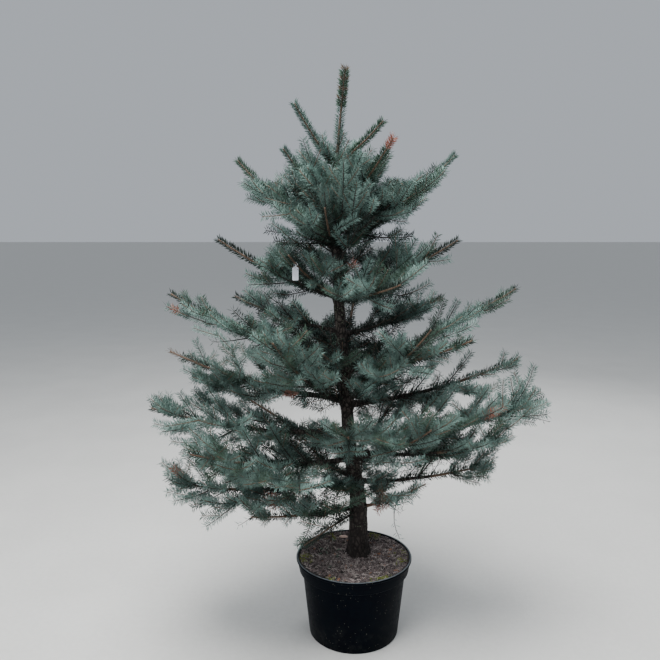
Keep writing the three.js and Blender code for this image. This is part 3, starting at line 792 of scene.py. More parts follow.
def growBareTwigs(number, bough):
    # old twigs that the shade has stripped: dark, thin, forked once, along the inner part of the limb
    count = 0
    along = trunkRadius(bough["foot"].z) + bareTwigs["fromTrunk"]
    while along < bareTwigs["endShare"] * bough["length"]:
        t = along / bough["length"]
        keys = (*bough["keys"], 70, count)
        ahead, root = boughHeading(bough, t), boughPoint(bough, t)
        side = ahead.cross(up).normalized()
        turn = chance(*keys, 1) * 2 * math.pi
        way = (ahead * drawn(bareTwigs["ahead"], *keys, 2) + side * math.cos(turn)
               + side.cross(ahead) * math.sin(turn) * bareTwigs["rise"]).normalized()
        length = between(bareTwigs["length"], chance(*keys, 3) ** bareTwigs["lengthPower"])
        across = way.cross(up).normalized()
        bend = (chance(*keys, 4) - 0.5) * bareTwigs["bend"]
        droop = (chance(*keys, 5) - 0.6) * bareTwigs["droop"]
        path = [root + way * (length * s) + across * (bend * length * s * s) + up * (droop * length * s * s)
                for s in (0, 0.25, 0.5, 0.75, 1)]
        parent = addTwig(path, 3, number, bareTwigs["ages"], keys, -1, bare=True)
        for fork in (1, 2, 3):
            if chance(*keys, fork, 6) < bareTwigs["forkMissing"]:
                continue
            start = path[fork]
            lean = across * (1 if fork % 2 else -1) * drawn(bareTwigs["forkLean"], *keys, fork, 7)
            rise = up * (chance(*keys, fork, 8) - 0.5) * bareTwigs["forkRise"]
            forkWay = (way + lean + rise).normalized()
            reach = length * bareTwigs["forkShare"] * drawn(bareTwigs["forkSwing"], *keys, fork, 9)
            ends = [start + forkWay * (reach * s) + up * (bareTwigs["forkCurl"] * reach * s * s)
                    for s in (0, 0.5, 1)]
            addTwig(ends, 4, number, bareTwigs["forkAges"], (*keys, fork), parent, bare=True)
        along += bareTwigs["spacing"] * drawn(bareTwigs["spacingSwing"], *keys, 10)
        count += 1


for number, bough in enumerate(boughs):
    axis = growBough(number, bough)
    if bough["whorl"] <= tipFan["lastWhorl"]:
        growTipFan(number, bough, axis)
    if bough["whorl"] <= bareTwigs["lastWhorl"]:
        growBareTwigs(number, bough)
growTrunkShoots()


pruning = {
    # where along a twig its room is tested, and what is left of it when none, one, two or all are inside
    "tests": (0.4, 0.7, 1.0), "left": (0.0, 0.45, 0.72, 1.0),
}


def pointsAlong(path, places):
    # places are counted in steps of the path
    k = np.minimum(places.astype(int), len(path) - 2)
    return path[k] + (path[k + 1] - path[k]) * (places - k)[:, None]


def isCutOff(twig, above, share):
    # whether what the twig grew on is gone, or was cut short before it
    if share == 1 or not above["keep"]:
        return not above["keep"]
    root, start, end = twig["full"][0], above["full"][0], above["full"][-1]
    return np.dot(root - start, end - start) / max(1e-6, np.dot(end - start, end - start)) > share


def pruneTwigs():
    # a twig that leaves its room is cut short there, and what grew on the cut part goes too
    tests = np.array(pruning["tests"])
    chosen = [i for i, twig in enumerate(twigs) if twig["level"] > 1]
    paths = [twigs[i]["full"] for i in chosen]
    points = np.vstack([pointsAlong(path, tests * (len(path) - 1)) for path in paths])
    owners = np.repeat([twigs[i]["owner"] for i in chosen], len(tests))
    good = isInRoom(points, owners).reshape(-1, len(tests))
    left = {i: pruning["left"][np.cumprod(row).sum()] for i, row in zip(chosen, good)}
    for i, path in zip(chosen, paths):
        twig = twigs[i]
        parent = twig["parent"]
        if parent >= 0 and isCutOff(twig, twigs[parent], left.get(parent, 1.0)) or left[i] == 0:
            twig["keep"] = False
        elif left[i] < 1:
            twig["points"] = pointsAlong(path, np.linspace(0, left[i] * (len(path) - 1), len(path)))


pruneTwigs()
kept = [twig for twig in twigs if twig["keep"]]

# single shoots: from and to in the picture, their bend to the left of their run, and whether they are bare
ownShoots = [
    ((398, 497), (400, 539), -24, True), ((379, 476), (377, 503), 2, False),
    ((312, 514), (297, 547), 16, False), ((391, 503), (377, 512), -4, False),
    ((521, 416), (550, 422), 2, True), ((262, 508), (238, 526), 4, True),
    ((511, 414), (534, 366), -14, False), ((500, 408), (503, 380), 0, False),
]
# leafy ones that fork: from and to in the picture
forkedShoots = [
    ((200, 416), (166, 428)), ((205, 442), (172, 445)), ((236, 330), (206, 321)), ((292, 214), (262, 219)),
    ((292, 205), (264, 199)), ((452, 428), (486, 416)), ((438, 334), (466, 318)), ((392, 288), (428, 270)),
    ((286, 204), (247, 207)), ((282, 200), (245, 193)), ((374, 214), (411, 220)), ((382, 206), (417, 208)),
    ((384, 220), (407, 227)), ((508, 410), (524, 384)), ((398, 296), (430, 290)), ((300, 492), (330, 484)),
    ((362, 470), (386, 464)), ((470, 420), (500, 402)), ((214, 324), (166, 310)), ((222, 334), (194, 330)),
    ((228, 322), (205, 310)), ((446, 336), (478, 327)), ((440, 330), (462, 322)), ((392, 449), (359, 443)),
    ((396, 456), (366, 471)), ((404, 458), (424, 463)), ((398, 452), (372, 458)), ((324, 502), (354, 493)),
    ((332, 509), (364, 503)), ((320, 496), (346, 485)), ((393, 500), (376, 511)), ((384, 497), (412, 503)),
    ((390, 494), (418, 498)), ((378, 492), (396, 508)), ((372, 484), (384, 503)), ((512, 398), (511, 379)),
    ((520, 394), (514, 376)), ((528, 410), (547, 406)),
]


def growPlacedShoots():
    hosts = [twig for twig in kept if not twig["bare"] and twig["owner"] >= 0]
    points = np.vstack([twig["points"][1:] for twig in hosts])
    owners = np.concatenate([[twig["owner"]] * (len(twig["points"]) - 1) for twig in hosts])
    u, v, depth = pictureOf(points)
    right, lift = np.array((1.0, 0, 0)), np.array((0, math.sin(pitch), math.cos(pitch)))

    def fromHost(start, end):
        # the nearest and foremost twig's point and owner, the run to the end, and the left of that run
        best = int(np.argmin(np.hypot(u - start[0], v - start[1]) + 6 * depth))
        across, rise = end[0] - u[best], v[best] - end[1]
        run = (right * across + lift * rise) * depth[best] / focal / mm
        side = (lift * across - right * rise) / math.hypot(across, rise)
        return points[best], int(owners[best]), run, side

    for place, (start, end) in enumerate(forkedShoots):
        root, owner, run, _ = fromHost(start, end)
        first = len(twigs)
        growTwig(Vector(root), Vector(run).normalized(), float(np.linalg.norm(run)), 2, owner,
                 (firstKey["forked"], place), -1)
        kept.extend(twigs[first:])
    for place, (start, end, bend, bare) in enumerate(ownShoots):
        root, owner, run, side = fromHost(start, end)
        path = [root + run * s + side * bend * 4 * s * (1 - s) for s in (0, 0.2, 0.4, 0.6, 0.8, 1)]
        kept.append(twigs[addTwig(path, 3, owner, (0.5, 1.5), (firstKey["own"], place), -1, bare)])


growPlacedShoots()
print("stage:", len(twigs), "twigs grown,", len(kept), "kept")


studio = {
    "floor": ((0.60, 0.60, 0.58), (0.64, 0.64, 0.62)), "sky": (0.86, 0.92, 1.0), "skyStrength": 0.52,
    # place and target in metres, watts and colour of each round lamp, and their size
    "lamps": {
        "topLight": ((-0.6, -0.8, 5.2), (0, 0.1, 1.0), 430, (1.0, 0.99, 0.97)),
        "frontLight": ((-2.6, -4.2, 3.2), (0, 0, 1.1), 105, (0.97, 0.98, 1.0)),
        "backLight": ((2.4, 3.6, 3.4), (0, 0, 1.2), 80, (0.98, 0.99, 1.0)),
    },
    "lampSize": 3.0,
}


def makeCamera():
    data = bpy.data.cameras.new("photoView")
    data.lens, data.sensor_width = view["lens"], view["sensor"]
    data.clip_end = 1000
    camera = newObject("photoView", data)
    camera.location = view["place"]
    camera.rotation_euler = (math.radians(90 - view["pitch"]), 0, 0)
    scene.camera = camera


def makeStage():
    bm = bmesh.new()
    bmesh.ops.create_grid(bm, x_segments=1, y_segments=1, size=300000)
    finish = mottledMaterial("paleFloor", *studio["floor"], 2.0, 40.0, 0.8)
    objectFromBmesh("floor", bm, finish)
    world = bpy.data.worlds.new("softRoom")
    world.use_nodes = True
    sky = world.node_tree.nodes["Background"]
    sky.inputs["Color"].default_value = (*studio["sky"], 1)
    sky.inputs["Strength"].default_value = studio["skyStrength"]
    scene.world = world
    for name, (place, target, watts, color) in studio["lamps"].items():
        data = bpy.data.lights.new(name, "AREA")
        data.shape, data.size, data.energy, data.color = "DISK", studio["lampSize"], watts, color
        lamp = newObject(name, data)
        lamp.location = place
        lamp.rotation_euler = (Vector(target) - Vector(place)).to_track_quat("-Z", "Y").to_euler()


makeCamera()
makeStage()
print("stage: camera, floor and light")


# arrays of points and faces for what repeats hundreds of times

def levelSide(ahead):
    # a level direction across each heading
    side = np.cross(ahead, (0.0, 0.0, 1.0))
    size = np.linalg.norm(side, axis=1)[:, None]
    return np.where(size > 1e-3, side / np.maximum(size, 1e-9), (1.0, 0.0, 0.0))


def lengthOf(path):
    return np.linalg.norm(np.diff(path, axis=0), axis=1).sum()


def tubeArrays(path, radii, sides):
    # rings round the path, a point at its far end and another at its foot, all in triangles
    ahead = np.gradient(path, axis=0)
    ahead /= np.linalg.norm(ahead, axis=1)[:, None]
    side = levelSide(ahead)
    lift = np.cross(side, ahead)
    angles = np.arange(sides) * 2 * math.pi / sides
    ring = np.cos(angles)[None, :, None] * side[:, None] + np.sin(angles)[None, :, None] * lift[:, None]
    points = path[:, None] + ring * np.asarray(radii)[:, None, None]
    count = len(path)
    points = np.vstack([points.reshape(-1, 3), path[:1], path[-1:] + ahead[-1:] * radii[-1]])
    k = np.arange(sides)
    n = (k + 1) % sides
    faces = []
    for i in range(count - 1):
        a, b, c, d = i * sides + k, i * sides + n, (i + 1) * sides + n, (i + 1) * sides + k
        faces += [np.stack([a, b, c], 1), np.stack([a, c, d], 1)]
    foot, tip, last = count * sides, count * sides + 1, (count - 1) * sides
    faces.append(np.stack([n, k, np.full(sides, foot)], 1))
    faces.append(np.stack([last + k, last + n, np.full(sides, tip)], 1))
    return points, np.vstack(faces)[:, ::-1]


def joinArrays(parts):
    offset, points, faces = 0, [], []
    for somePoints, someFaces in parts:
        points.append(somePoints)
        faces.append(someFaces + offset)
        offset += len(somePoints)
    return np.vstack(points), np.vstack(faces)


def joinedPiece(name, parts, material, slotName, *nodes, smooth=False):
    obj = meshFromArrays(name, *joinArrays(parts), materials[material], smooth)
    print("  ", name, len(obj.data.polygons), "triangles")
    return piece(obj, slotName, *nodes)


zones = {"lower": range(1, 5), "middle": range(5, 8), "upper": range(8, 12)}
# the heights where the middle and the upper zone begin, for shoots on the trunk
zoneHeights = {"middle": 930, "upper": 1370}


def zoneOf(twig):
    if twig["owner"] < 0:
        height = twig["points"][0][2]
        return "upper" if height > zoneHeights["upper"] else (
            "middle" if height > zoneHeights["middle"] else "lower")
    whorl = boughs[twig["owner"]]["whorl"]
    return next(name for name, span in zones.items() if whorl in span)


def nodesOf(zone, kind):
    names = [f"{kind}_{bough['name']}" for bough in boughs if bough["whorl"] in zones[zone]]
    names += ["foliage_leader"] if kind == "foliage" and zone == "upper" else []
    return [name for name in names if name in frame["nodes"]]


def limbArrays(bough):
    # a limb with a swollen collar at the trunk and knots at its nodes, in its old and its new wood
    ts = np.linspace(0, 1, limb["stepsPerYear"] * bough["years"] + 1)
    path = np.array([boughPoint(bough, t) for t in ts])
    wander = np.array([noise.noise_vector(Vector(p) * 0.012 + Vector((7, 3, 1))) for p in path])
    path = path + wander * (limb["wander"] * np.sin(math.pi * ts) ** 0.5)[:, None]
    radii = np.array([limbRadius(bough, t) for t in ts])
    fromTrunk = np.maximum(ts * bough["length"] - trunkRadius(bough["foot"].z), 0)
    radii = radii * (1 + limb["collar"] * np.exp(-fromTrunk / limb["collarLength"]))
    ages = ts * bough["years"]
    knots = np.abs(ages - np.round(ages)) * bough["length"] / bough["years"]
    radii = radii * (1 + limb["knot"] * np.exp(-(knots / limb["knotLength"]) ** 2))
    radii = radii * (1 + limb["relief"] * np.array([noise.noise(Vector(p) * 0.09) for p in path]))
    split = int(len(ts) * (1 - limb["newYears"] / bough["years"]))
    oldSides, newSides = limb["sides"]
    return (tubeArrays(path[:split + 1], radii[:split + 1], oldSides),
            tubeArrays(path[split:], radii[split:], newSides))


def buildLimbs():
    # the wander's noise would take its seed from the clock
    noise.seed_set(limb["wanderSeed"])
    for zone, span in zones.items():
        old, new = zip(*[limbArrays(bough) for bough in boughs if bough["whorl"] in span])
        joinedPiece("limbs" + zone.title(), old, "bark", "bark", *nodesOf(zone, "bough"), smooth=True)
        joinedPiece("limbTips" + zone.title(), new, "newTwig", "bark", smooth=True)


twigShape = {
    "newBelow": 130, "foot": 1.3, "footGain": 0.009, "tip": 1.4, "bareTip": 0.9, "fourSidesFrom": 150,
}


def twigArrays(twig):
    path = twig["points"]
    length = lengthOf(path)
    tip = twigShape["bareTip"] if twig["bare"] else twigShape["tip"]
    radii = np.linspace(twigShape["foot"] + twigShape["footGain"] * length, tip, len(path))
    return tubeArrays(path, radii, 4 if length > twigShape["fourSidesFrom"] else 3)


def isNewWood(twig):
    isShort = lengthOf(twig["points"]) < twigShape["newBelow"]
    return (twig["level"] >= growth["lastLevel"] or isShort) and not twig["bare"]


def buildTwigs():
    for zone in zones:
        chosen = [twig for twig in kept if twig["level"] > 1 and zoneOf(twig) == zone]
        for age in ("old", "new"):
            parts = [twigArrays(twig) for twig in chosen if isNewWood(twig) == (age == "new")]
            joinedPiece(f"{age}Twigs{zone.title()}", parts, age + "Twig", "bark", smooth=True)


def buildTrunk():
    bm = bmesh.new()
    bmesh.ops.create_cone(bm, cap_ends=True, segments=trunk["sides"], radius1=1, radius2=1, depth=1)
    rising = [edge for edge in bm.edges if abs(edge.verts[0].co.z - edge.verts[1].co.z) > 0.5]
    bmesh.ops.subdivide_edges(bm, edges=rising, cuts=trunk["rings"])
    collars = [(bough["foot"].z, bough["out"], limbRadius(bough, 0)) for bough in boughs]
    for v in bm.verts:
        share = v.co.z + 0.5
        height = trunkLow + (trunkHigh - trunkLow) * (0.75 * share + 0.25 * share * share)
        way = Vector((v.co.x, v.co.y, 0))
        angle = math.atan2(way.y, way.x)
        radius = trunkRadius(height)
        flare = max(0.0, 1 - (height - trunkLow) / trunk["flareHeight"])
        radius += trunk["fluteDepth"] * flare * (math.sin(3 * angle + 0.7) + 0.6 * math.sin(5 * angle))
        for foot, out, size in collars:
            gap = math.hypot(height - foot + 6, (1 - way.dot(out)) * radius)
            if gap < trunk["knotReach"]:
                radius += size * trunk["knotSize"] * math.exp(-(gap / trunk["knotWidth"]) ** 2)
        # flat scales with cracks between them, finer up the stem
        grow = min(1.0, radius / 22)
        spot = Vector((way.x * radius, way.y * radius, height * trunk["plateStretch"])) * trunk["plateScale"]
        distances = noise.voronoi(spot, distance_metric="DISTANCE", exponent=2.5)[0]
        crack = min(1.0, (distances[1] - distances[0]) / 0.35)
        rough = noise.fractal(Vector((way.x * radius, way.y * radius, height)) * 0.06, 0.8, 2.2, 3)
        radius += grow * trunk["plateDepth"] * (crack - 0.5 + 0.9 * rough)
        v.co = trunkAxis(height) + way * radius
        if v.co.z < trunkLow + 0.01:
            v.co.z = trunkLow
    bmesh.ops.recalc_face_normals(bm, faces=bm.faces)
    piece(objectFromBmesh("barkTrunk", bm, materials["bark"], smoothAngle=60), "bark", "trunk")


buildTrunk()
buildLimbs()
buildTwigs()
print("stage: trunk, limbs and twigs")


deadTips = {
    # picture places of rust-red tips, then of brown, half bare ones
    "rust": [(393, 142), (356, 261), (172, 303), (179, 473), (272, 496), (277, 511), (380, 511), (386, 509),
             (496, 412), (290, 395)],
    "drab": [(169, 353), (425, 485), (378, 492)],
    # how far each reaches along the shoots, and the share of its needles that is left
    "reach": {"rust": 30, "drab": 46}, "left": {"rust": 0.9, "drab": 0.4},
}
needle = {
    "length": (22, 32), "lowerShare": 0.85, "thickness": 1.0, "widestAt": 0.5, "tilt": (50, 74),
    "tipTilt": (18, 44), "inTipShare": 0.08, "upward": 0.12, "spinSwing": 0.25, "rootDepth": 0.6,
    "fadeAge": (3.4, 7.0), "mostInAll": 238000, "twigRadius": 1.0, "twigGain": 0.0085,
    # needles per millimetre of twig, and their width
    "kinds": {"powder": (0.96, 2.7), "blue": (0.96, 2.7), "green": (0.84, 2.9), "inner": (0.52, 3.5),
              "rust": (1.0, 2.3), "drab": (0.8, 2.4)},
    # oldest growth and share of the twigs that are powder, and those that are blue
    "powder": (1.4, 0.34), "blue": (2.2, 0.78),
    # bare twigs keep few needles, and shoots deep in the crown lose some
    "bareShare": 0.03, "bareTipShare": 0.14, "bareTipTwigs": 0.6, "thinInside": 0.5,
    # how far in the near-black painted shade of the inner needles reaches, at its least and its swing
    "innerReach": (0.55, 0.25),
}
# the leader's bottle brush: from, to, length of a step, where its dense tip begins and the needles' shares
leader = {"from": 1900, "to": 2284, "step": 12.0, "tipFrom": 2130, "share": 1.5, "tipShare": 4.6}
# growth above this height or this whorl counts as at least this far out in the crown
outside = {"depth": 1.2, "height": 1860, "whorl": 9, "leastReach": 140.0, "trunkReach": 300, "brighter": 0.6}


def findDeadSpots():
    # the outermost shoot at each place, on the side that the photograph shows
    points = np.vstack([twig["points"][2:] for twig in kept if not twig["bare"]])
    u, v, depth = pictureOf(points)
    spots = []
    for kind in ("rust", "drab"):
        for x, y in deadTips[kind]:
            nearest = int(np.argmin(np.hypot(u - x, v - y) + 8 * depth))
            spots.append((points[nearest], deadTips["reach"][kind], kind))
    return spots


deadSpots = findDeadSpots()


def depthInCrown(twig, bough):
    # 0 at the trunk, about 2 at the crown's outside
    root = twig["points"][0]
    middleX = trunkAxis(min(max(root[2], trunkLow), trunkHigh - 5)).x
    away = math.hypot(root[0] - middleX, root[1] - trunk["middleY"])
    depth = away / max(outside["leastReach"], 0.5 * (bough["reach"] if bough else outside["trunkReach"]))
    isOutside = twig["points"][-1][2] > outside["height"] or (bough and bough["whorl"] > outside["whorl"])
    return max(depth, outside["depth"]) if isOutside else depth


def livingKind(age, draw, depthIn, isInPaintedShade):
    innerLeast, innerSwing = needle["innerReach"]
    # needles deep in the crown get the near-black painted shade
    if depthIn < innerLeast + innerSwing * draw:
        return "inner"
    # in the listed spots the needles get the darker green as painted shade
    if isInPaintedShade:
        return "green"
    for kind in ("powder", "blue"):
        oldest, share = needle[kind]
        if age < oldest and draw < share:
            return kind
    return "green"


def needleShare(twig, bough, t, age, draw, depthIn):
    youngest, oldest = needle["fadeAge"]
    share = 1.0 if age < youngest else max(0.0, 1 - (age - youngest) / (oldest - youngest))
    if twig["level"] == 1:
        bareEnd = (bough["firstNode"] - 0.6) / bough["years"]
        share = 0.0 if t < bareEnd else min(1.2, share + 0.3)
        isLeafy = bough["whorl"] > 7 or bough["name"] == limb["thin"]
        share *= limb["manyNeedles"] if isLeafy else limb["fewNeedles"]
    if twig["bare"]:
        isLeafy = t > 0.5 and draw < needle["bareTipTwigs"]
        share = needle["bareTipShare"] if isLeafy else needle["bareShare"]
    if depthIn < needle["thinInside"] and twig["level"] > 1:
        share *= 0.25 + 1.5 * depthIn
    return share


def needleSegments():
    # one row for each piece of twig: ends, radius, place along it, share of needles, kind and zone
    rows = []
    for twig in kept:
        path = twig["points"]
        steps = len(path) - 1
        bough = boughs[twig["owner"]] if twig["owner"] >= 0 else None
        length = lengthOf(path)
        depthIn = depthInCrown(twig, bough)
        draw = chance(*twig["keys"], 61)
        if twig["keys"][0] in (firstKey["tuft"], firstKey["forked"]):
            # the listed shoots stand in the light
            depthIn, draw = max(depthIn, outside["depth"]), draw * outside["brighter"]
        for i in range(steps):
            t = (i + 0.5) / steps
            tipAge, footAge = twig["ages"]
            age = tipAge + (footAge - tipAge) * (1 - t)
            share = needleShare(twig, bough, t, age, draw, depthIn)
            middle = (path[i] + path[i + 1]) / 2
            kind = next((kind for spot, reach, kind in deadSpots
                         if np.linalg.norm(spot - middle) < reach), None)
            if kind:
                share *= deadTips["left"][kind]
            else:
                u, v, _ = pictureOf(middle)
                # spots where the needles get painted shade
                isInPaintedShade = any(isInEllipse(u, v, *ellipse) for ellipse in room["dull"])
                kind = livingKind(age, draw, depthIn, isInPaintedShade)
            radius = needle["twigRadius"] + needle["twigGain"] * length * (1 - t)
            rows.append((path[i], path[i + 1], radius, t, share, kind, zoneOf(twig)))
    return rows


def leaderSegments():
    rows = []
    step = leader["step"]
    for low in np.arange(leader["from"], leader["to"], step):
        isTip = low >= leader["tipFrom"]
        kind = "blue" if not isTip else ("drab" if int(low / step) % 3 == 0 else "green")
        t = (low - leader["from"]) / (trunkHigh - leader["from"])
        rows.append((np.array(trunkAxis(low)), np.array(trunkAxis(low + step)), trunkRadius(low), t,
                     leader["tipShare"] if isTip else leader["share"], kind, "upper"))
    return rows


def needlePoints(rows, seed, perMillimetre, width):
    # closed slivers of four faces, pointed at both ends, rooted in the twig in a spiral round it
    draw = np.random.default_rng(seed)
    a, b, radius, t, share = [np.array([row[i] for row in rows]) for i in range(5)]
    run = b - a
    length = np.linalg.norm(run, axis=1)
    ahead = run / length[:, None]
    side = levelSide(ahead)
    lift = np.cross(side, ahead)
    counts = (length * share * perMillimetre + draw.random(len(rows))).astype(int)
    pick = np.repeat(np.arange(len(rows)), counts)
    order = np.arange(len(pick)) - np.repeat(np.cumsum(counts) - counts, counts)
    along = (order + draw.random(len(pick))) / np.maximum(counts[pick], 1)
    spin = np.arange(len(pick)) * goldenTurn + draw.normal(0, needle["spinSwing"], len(pick))
    atTip = np.clip((t[pick] - (1 - needle["inTipShare"])) / needle["inTipShare"], 0, 1)
    tilt = np.radians(between(needle["tilt"], draw.random(len(pick))) * (1 - atTip)
                      + between(needle["tipTilt"], draw.random(len(pick))) * atTip)
    outward = np.cos(spin)[:, None] * side[pick] + np.sin(spin)[:, None] * lift[pick]
    way = np.cos(tilt)[:, None] * ahead[pick] + np.sin(tilt)[:, None] * outward
    way[:, 2] += needle["upward"] * (np.abs(ahead[pick][:, 2]) < 0.9)
    way /= np.linalg.norm(way, axis=1)[:, None]
    reach = between(needle["length"], draw.random(len(pick)))
    reach *= np.where(np.sin(spin) < -0.4, needle["lowerShare"], 1.0)
    root = a[pick] + run[pick] * along[:, None] + outward * (radius[pick] * needle["rootDepth"])[:, None]
    cross = np.cross(way, ahead[pick])
    cross /= np.maximum(np.linalg.norm(cross, axis=1), 1e-6)[:, None]
    other = np.cross(way, cross)
    half = width / 2
    middle = root + way * (reach * needle["widestAt"])[:, None]
    thick = needle["thickness"] / 2 * cross
    points = np.stack([root + thick, middle + half * other - thick, middle - half * other - thick,
                       root + way * reach[:, None] + thick], 1)
    return points.reshape(-1, 3)


def buildNeedles():
    rows = needleSegments() + leaderSegments()
    wanted = sum(np.linalg.norm(row[1] - row[0]) * row[4] * needle["kinds"][row[5]][0] for row in rows)
    thinning = min(1.0, needle["mostInAll"] / wanted)
    print("  ", int(wanted), "needles wanted, thinning", round(thinning, 3))
    total = 0
    for zoneNumber, zone in enumerate(zones):
        for kindNumber, kind in enumerate(needleFinish):
            chosen = [row for row in rows if row[6] == zone and row[5] == kind and row[4] > 0.02]
            density, width = needle["kinds"][kind]
            points = needlePoints(chosen, 100 * zoneNumber + kindNumber, density * thinning, width)
            base = np.arange(len(points) // 4)[:, None] * 4
            faces = np.concatenate([base + row for row in ([0, 1, 3], [0, 3, 2], [0, 2, 1], [1, 2, 3])])
            joinedPiece(f"needles{zone.title()}{kind.title()}", [(points, faces)], kind, "needles",
                        *nodesOf(zone, "foliage"))
            total += len(base)
    print("stage:", total, "needles")


buildNeedles()


def buildPot():
    collarFoot = potSize["height"] - potSize["collarHeight"]
    lipFoot = potSize["height"] - potSize["lipHeight"]
    foot, neck, collar, lip = (potSize[key] for key in ("foot", "neck", "collar", "lip"))
    wall, top = potSize["wall"], potSize["height"]
    profile = [
        # up the outside, over the rolled lip and down the inside
        (0, 0), (foot - 3, 0), (foot, 4), (neck, collarFoot), (collar - 2, collarFoot + 2),
        (collar, collarFoot + 5), (lip - 5, lipFoot - 3), (lip - 2, lipFoot - 1), (lip, lipFoot + 2),
        (lip, top - 3), (lip - 2, top), (lip - 7, top), (lip - 9, top - 2), (lip - 10, lipFoot - 4),
        (collar - wall - 1, collarFoot + 8), (neck - wall, collarFoot + 2), (foot - wall, wall), (0, wall),
    ]
    bm = turnedProfile(profile, potSize["steps"])
    sharp = [edge for edge in bm.edges
             if len(edge.link_faces) == 2 and edge.calc_face_angle() > math.radians(35)]
    bmesh.ops.bevel(bm, geom=sharp, offset=0.8, affect="EDGES", segments=2, profile=0.5, material=-1)
    for v in bm.verts:
        # a blow-moulded wall is never quite round
        if v.co.z > 20:
            angle = math.atan2(v.co.y, v.co.x)
            oval = 0.0035 * math.sin(2 * angle + 0.6) * (v.co.z / top)
            swell = 1 + oval + 0.0012 * math.sin(5 * angle + v.co.z / 90)
            v.co.x *= swell
            v.co.y *= swell
    piece(objectFromBmesh("nurseryPot", bm, materials["pot"], smoothAngle=38), "pot", "pot")


buildPot()
print("stage: pot")


soil = {
    "height": 312, "level": 150, "rimRise": 19, "highest": 327.2, "rings": 74, "steps": 150,
    "roughness": 6.5, "pits": 4.5, "edgeGap": 10.6, "hollowShare": 0.25,
    # x, y, radius and depth of each dark hollow
    "hollows": [(-118, 55, 36, 11), (-150, 66, 24, 8), (-47, 131, 24, 9), (-172, -46, 26, 7),
                (-48, -112, 24, 6), (-86, 96, 20, 6), (96, 60, 18, 5)],
}
soilEdge = potSize["lip"] - soil["edgeGap"]


def soilTop(x, y):
    rimRise = soil["rimRise"] * max(0.0, (math.hypot(x, y) - soil["level"]) / 100)
    lumps = noise.fractal(Vector((x, y, 0)) * 0.03, 0.75, 2.1, 5) * soil["roughness"]
    pits = noise.noise(Vector((x, y, 40)) * 0.016) * soil["pits"]
    hollow = sum(deep * math.exp(-((x - hx) ** 2 + (y - hy) ** 2) / wide ** 2)
                 for hx, hy, wide, deep in soil["hollows"])
    return min(soil["height"] + rimRise + lumps + pits - 1, soil["highest"]) - hollow


def buildSoil():
    rings = soil["rings"]
    profile = [(soilEdge * i / rings, soil["height"]) for i in range(rings + 1)]
    profile += [(soilEdge - 1, 300), (potSize["neck"] - 5, potSize["height"] - potSize["collarHeight"]),
                (potSize["foot"] - 5, 5), (0, 5)]
    bm = turnedProfile(profile, soil["steps"])
    for v in bm.verts:
        if v.co.z > soil["height"] - 1:
            v.co.z = soilTop(v.co.x, v.co.y)
    piece(objectFromBmesh("compost", bm, materials["soil"], smoothAngle=50), "soil", "soil")


litter = {
    # name, count, seed, lengths, thickness as a share of the length, material
    "chips": [("barkChips", 1500, 41, (5, 24), 0.22, "chip"),
              ("redBarkChips", 90, 42, (5, 20), 0.2, "redChip")],
    "chipWidth": (0.3, 0.75), "chipSwing": 0.22, "chipTilt": 0.35,
    "fibres": 1500, "fibreSeed": 43, "fibreLength": (14, 58), "fibreRadius": (0.4, 0.95), "fibreSteps": 6,
    # direction in degrees, distance from the pot's middle, radius of each moss patch
    "moss": [(292, 216, 24), (298, 213, 20), (304, 212, 14), (350, 198, 32), (10, 196, 24), (183, 202, 26),
             (190, 206, 20), (62, 214, 20), (118, 204, 26), (243, 212, 16)],
    "mossSeed": 77, "mossTufts": 7000, "mossHeight": (2.5, 5.5), "mossWidth": (2.0, 3.6), "mossLean": 1.6,
    # the one pale chip that lies left of the trunk's foot
    "paleChip": (-40, 180), "paleChipHalf": (19, 11, 4.5),
}
boxFaces = np.array([(0, 2, 1), (0, 3, 2), (4, 5, 6), (4, 6, 7), (0, 1, 5), (0, 5, 4), (1, 2, 6), (1, 6, 5),
                     (2, 3, 7), (2, 7, 6), (3, 0, 4), (3, 4, 7)])
boxCorners = np.array([(x, y, z) for z in (-1, 1) for x, y in ((-1, -1), (1, -1), (1, 1), (-1, 1))])
spikeFaces = np.array([(0, 1, 3), (1, 2, 3), (2, 0, 3), (2, 1, 0)])


def isOnSoil(x, y):
    _, footX, footY, footWidth = trunk["stations"][0]
    return math.hypot(x, y) < soilEdge - 8 and math.hypot(x - footX, y - footY) > footWidth / 2 + 2


def isInHollow(x, y):
    return any(math.hypot(x - hx, y - hy) < 0.75 * wide for hx, hy, wide, _ in soil["hollows"])


def scatterPlaces(count, seed):
    draw = np.random.default_rng(seed)
    places = []
    while len(places) < count:
        away, angle = soilEdge * math.sqrt(draw.random()), draw.random() * 2 * math.pi
        x, y = away * math.cos(angle), away * math.sin(angle)
        if isOnSoil(x, y) and (not isInHollow(x, y) or draw.random() < soil["hollowShare"]):
            places.append((x, y, soilTop(x, y)))
    return places, draw


def chipArrays(places, draw, lengths, flatness):
    # flakes of bark: boxes with pushed-about corners, lying nearly flat
    parts = []
    for x, y, z in places:
        length = between(lengths, draw.random() ** 2)
        size = np.array([length, length * between(litter["chipWidth"], draw.random()), length * flatness]) / 2
        corners = boxCorners * size * (1 + draw.normal(0, litter["chipSwing"], (8, 3)))
        turn = Matrix.Rotation(draw.random() * 6.28, 3, "Z")
        turn = turn @ Matrix.Rotation(draw.normal(0, litter["chipTilt"]), 3, "X")
        turn = turn @ Matrix.Rotation(draw.normal(0, litter["chipTilt"]), 3, "Y")
        parts.append((corners @ np.array(turn).T + (x, y, z + size[2] * 0.4), boxFaces))
    return parts


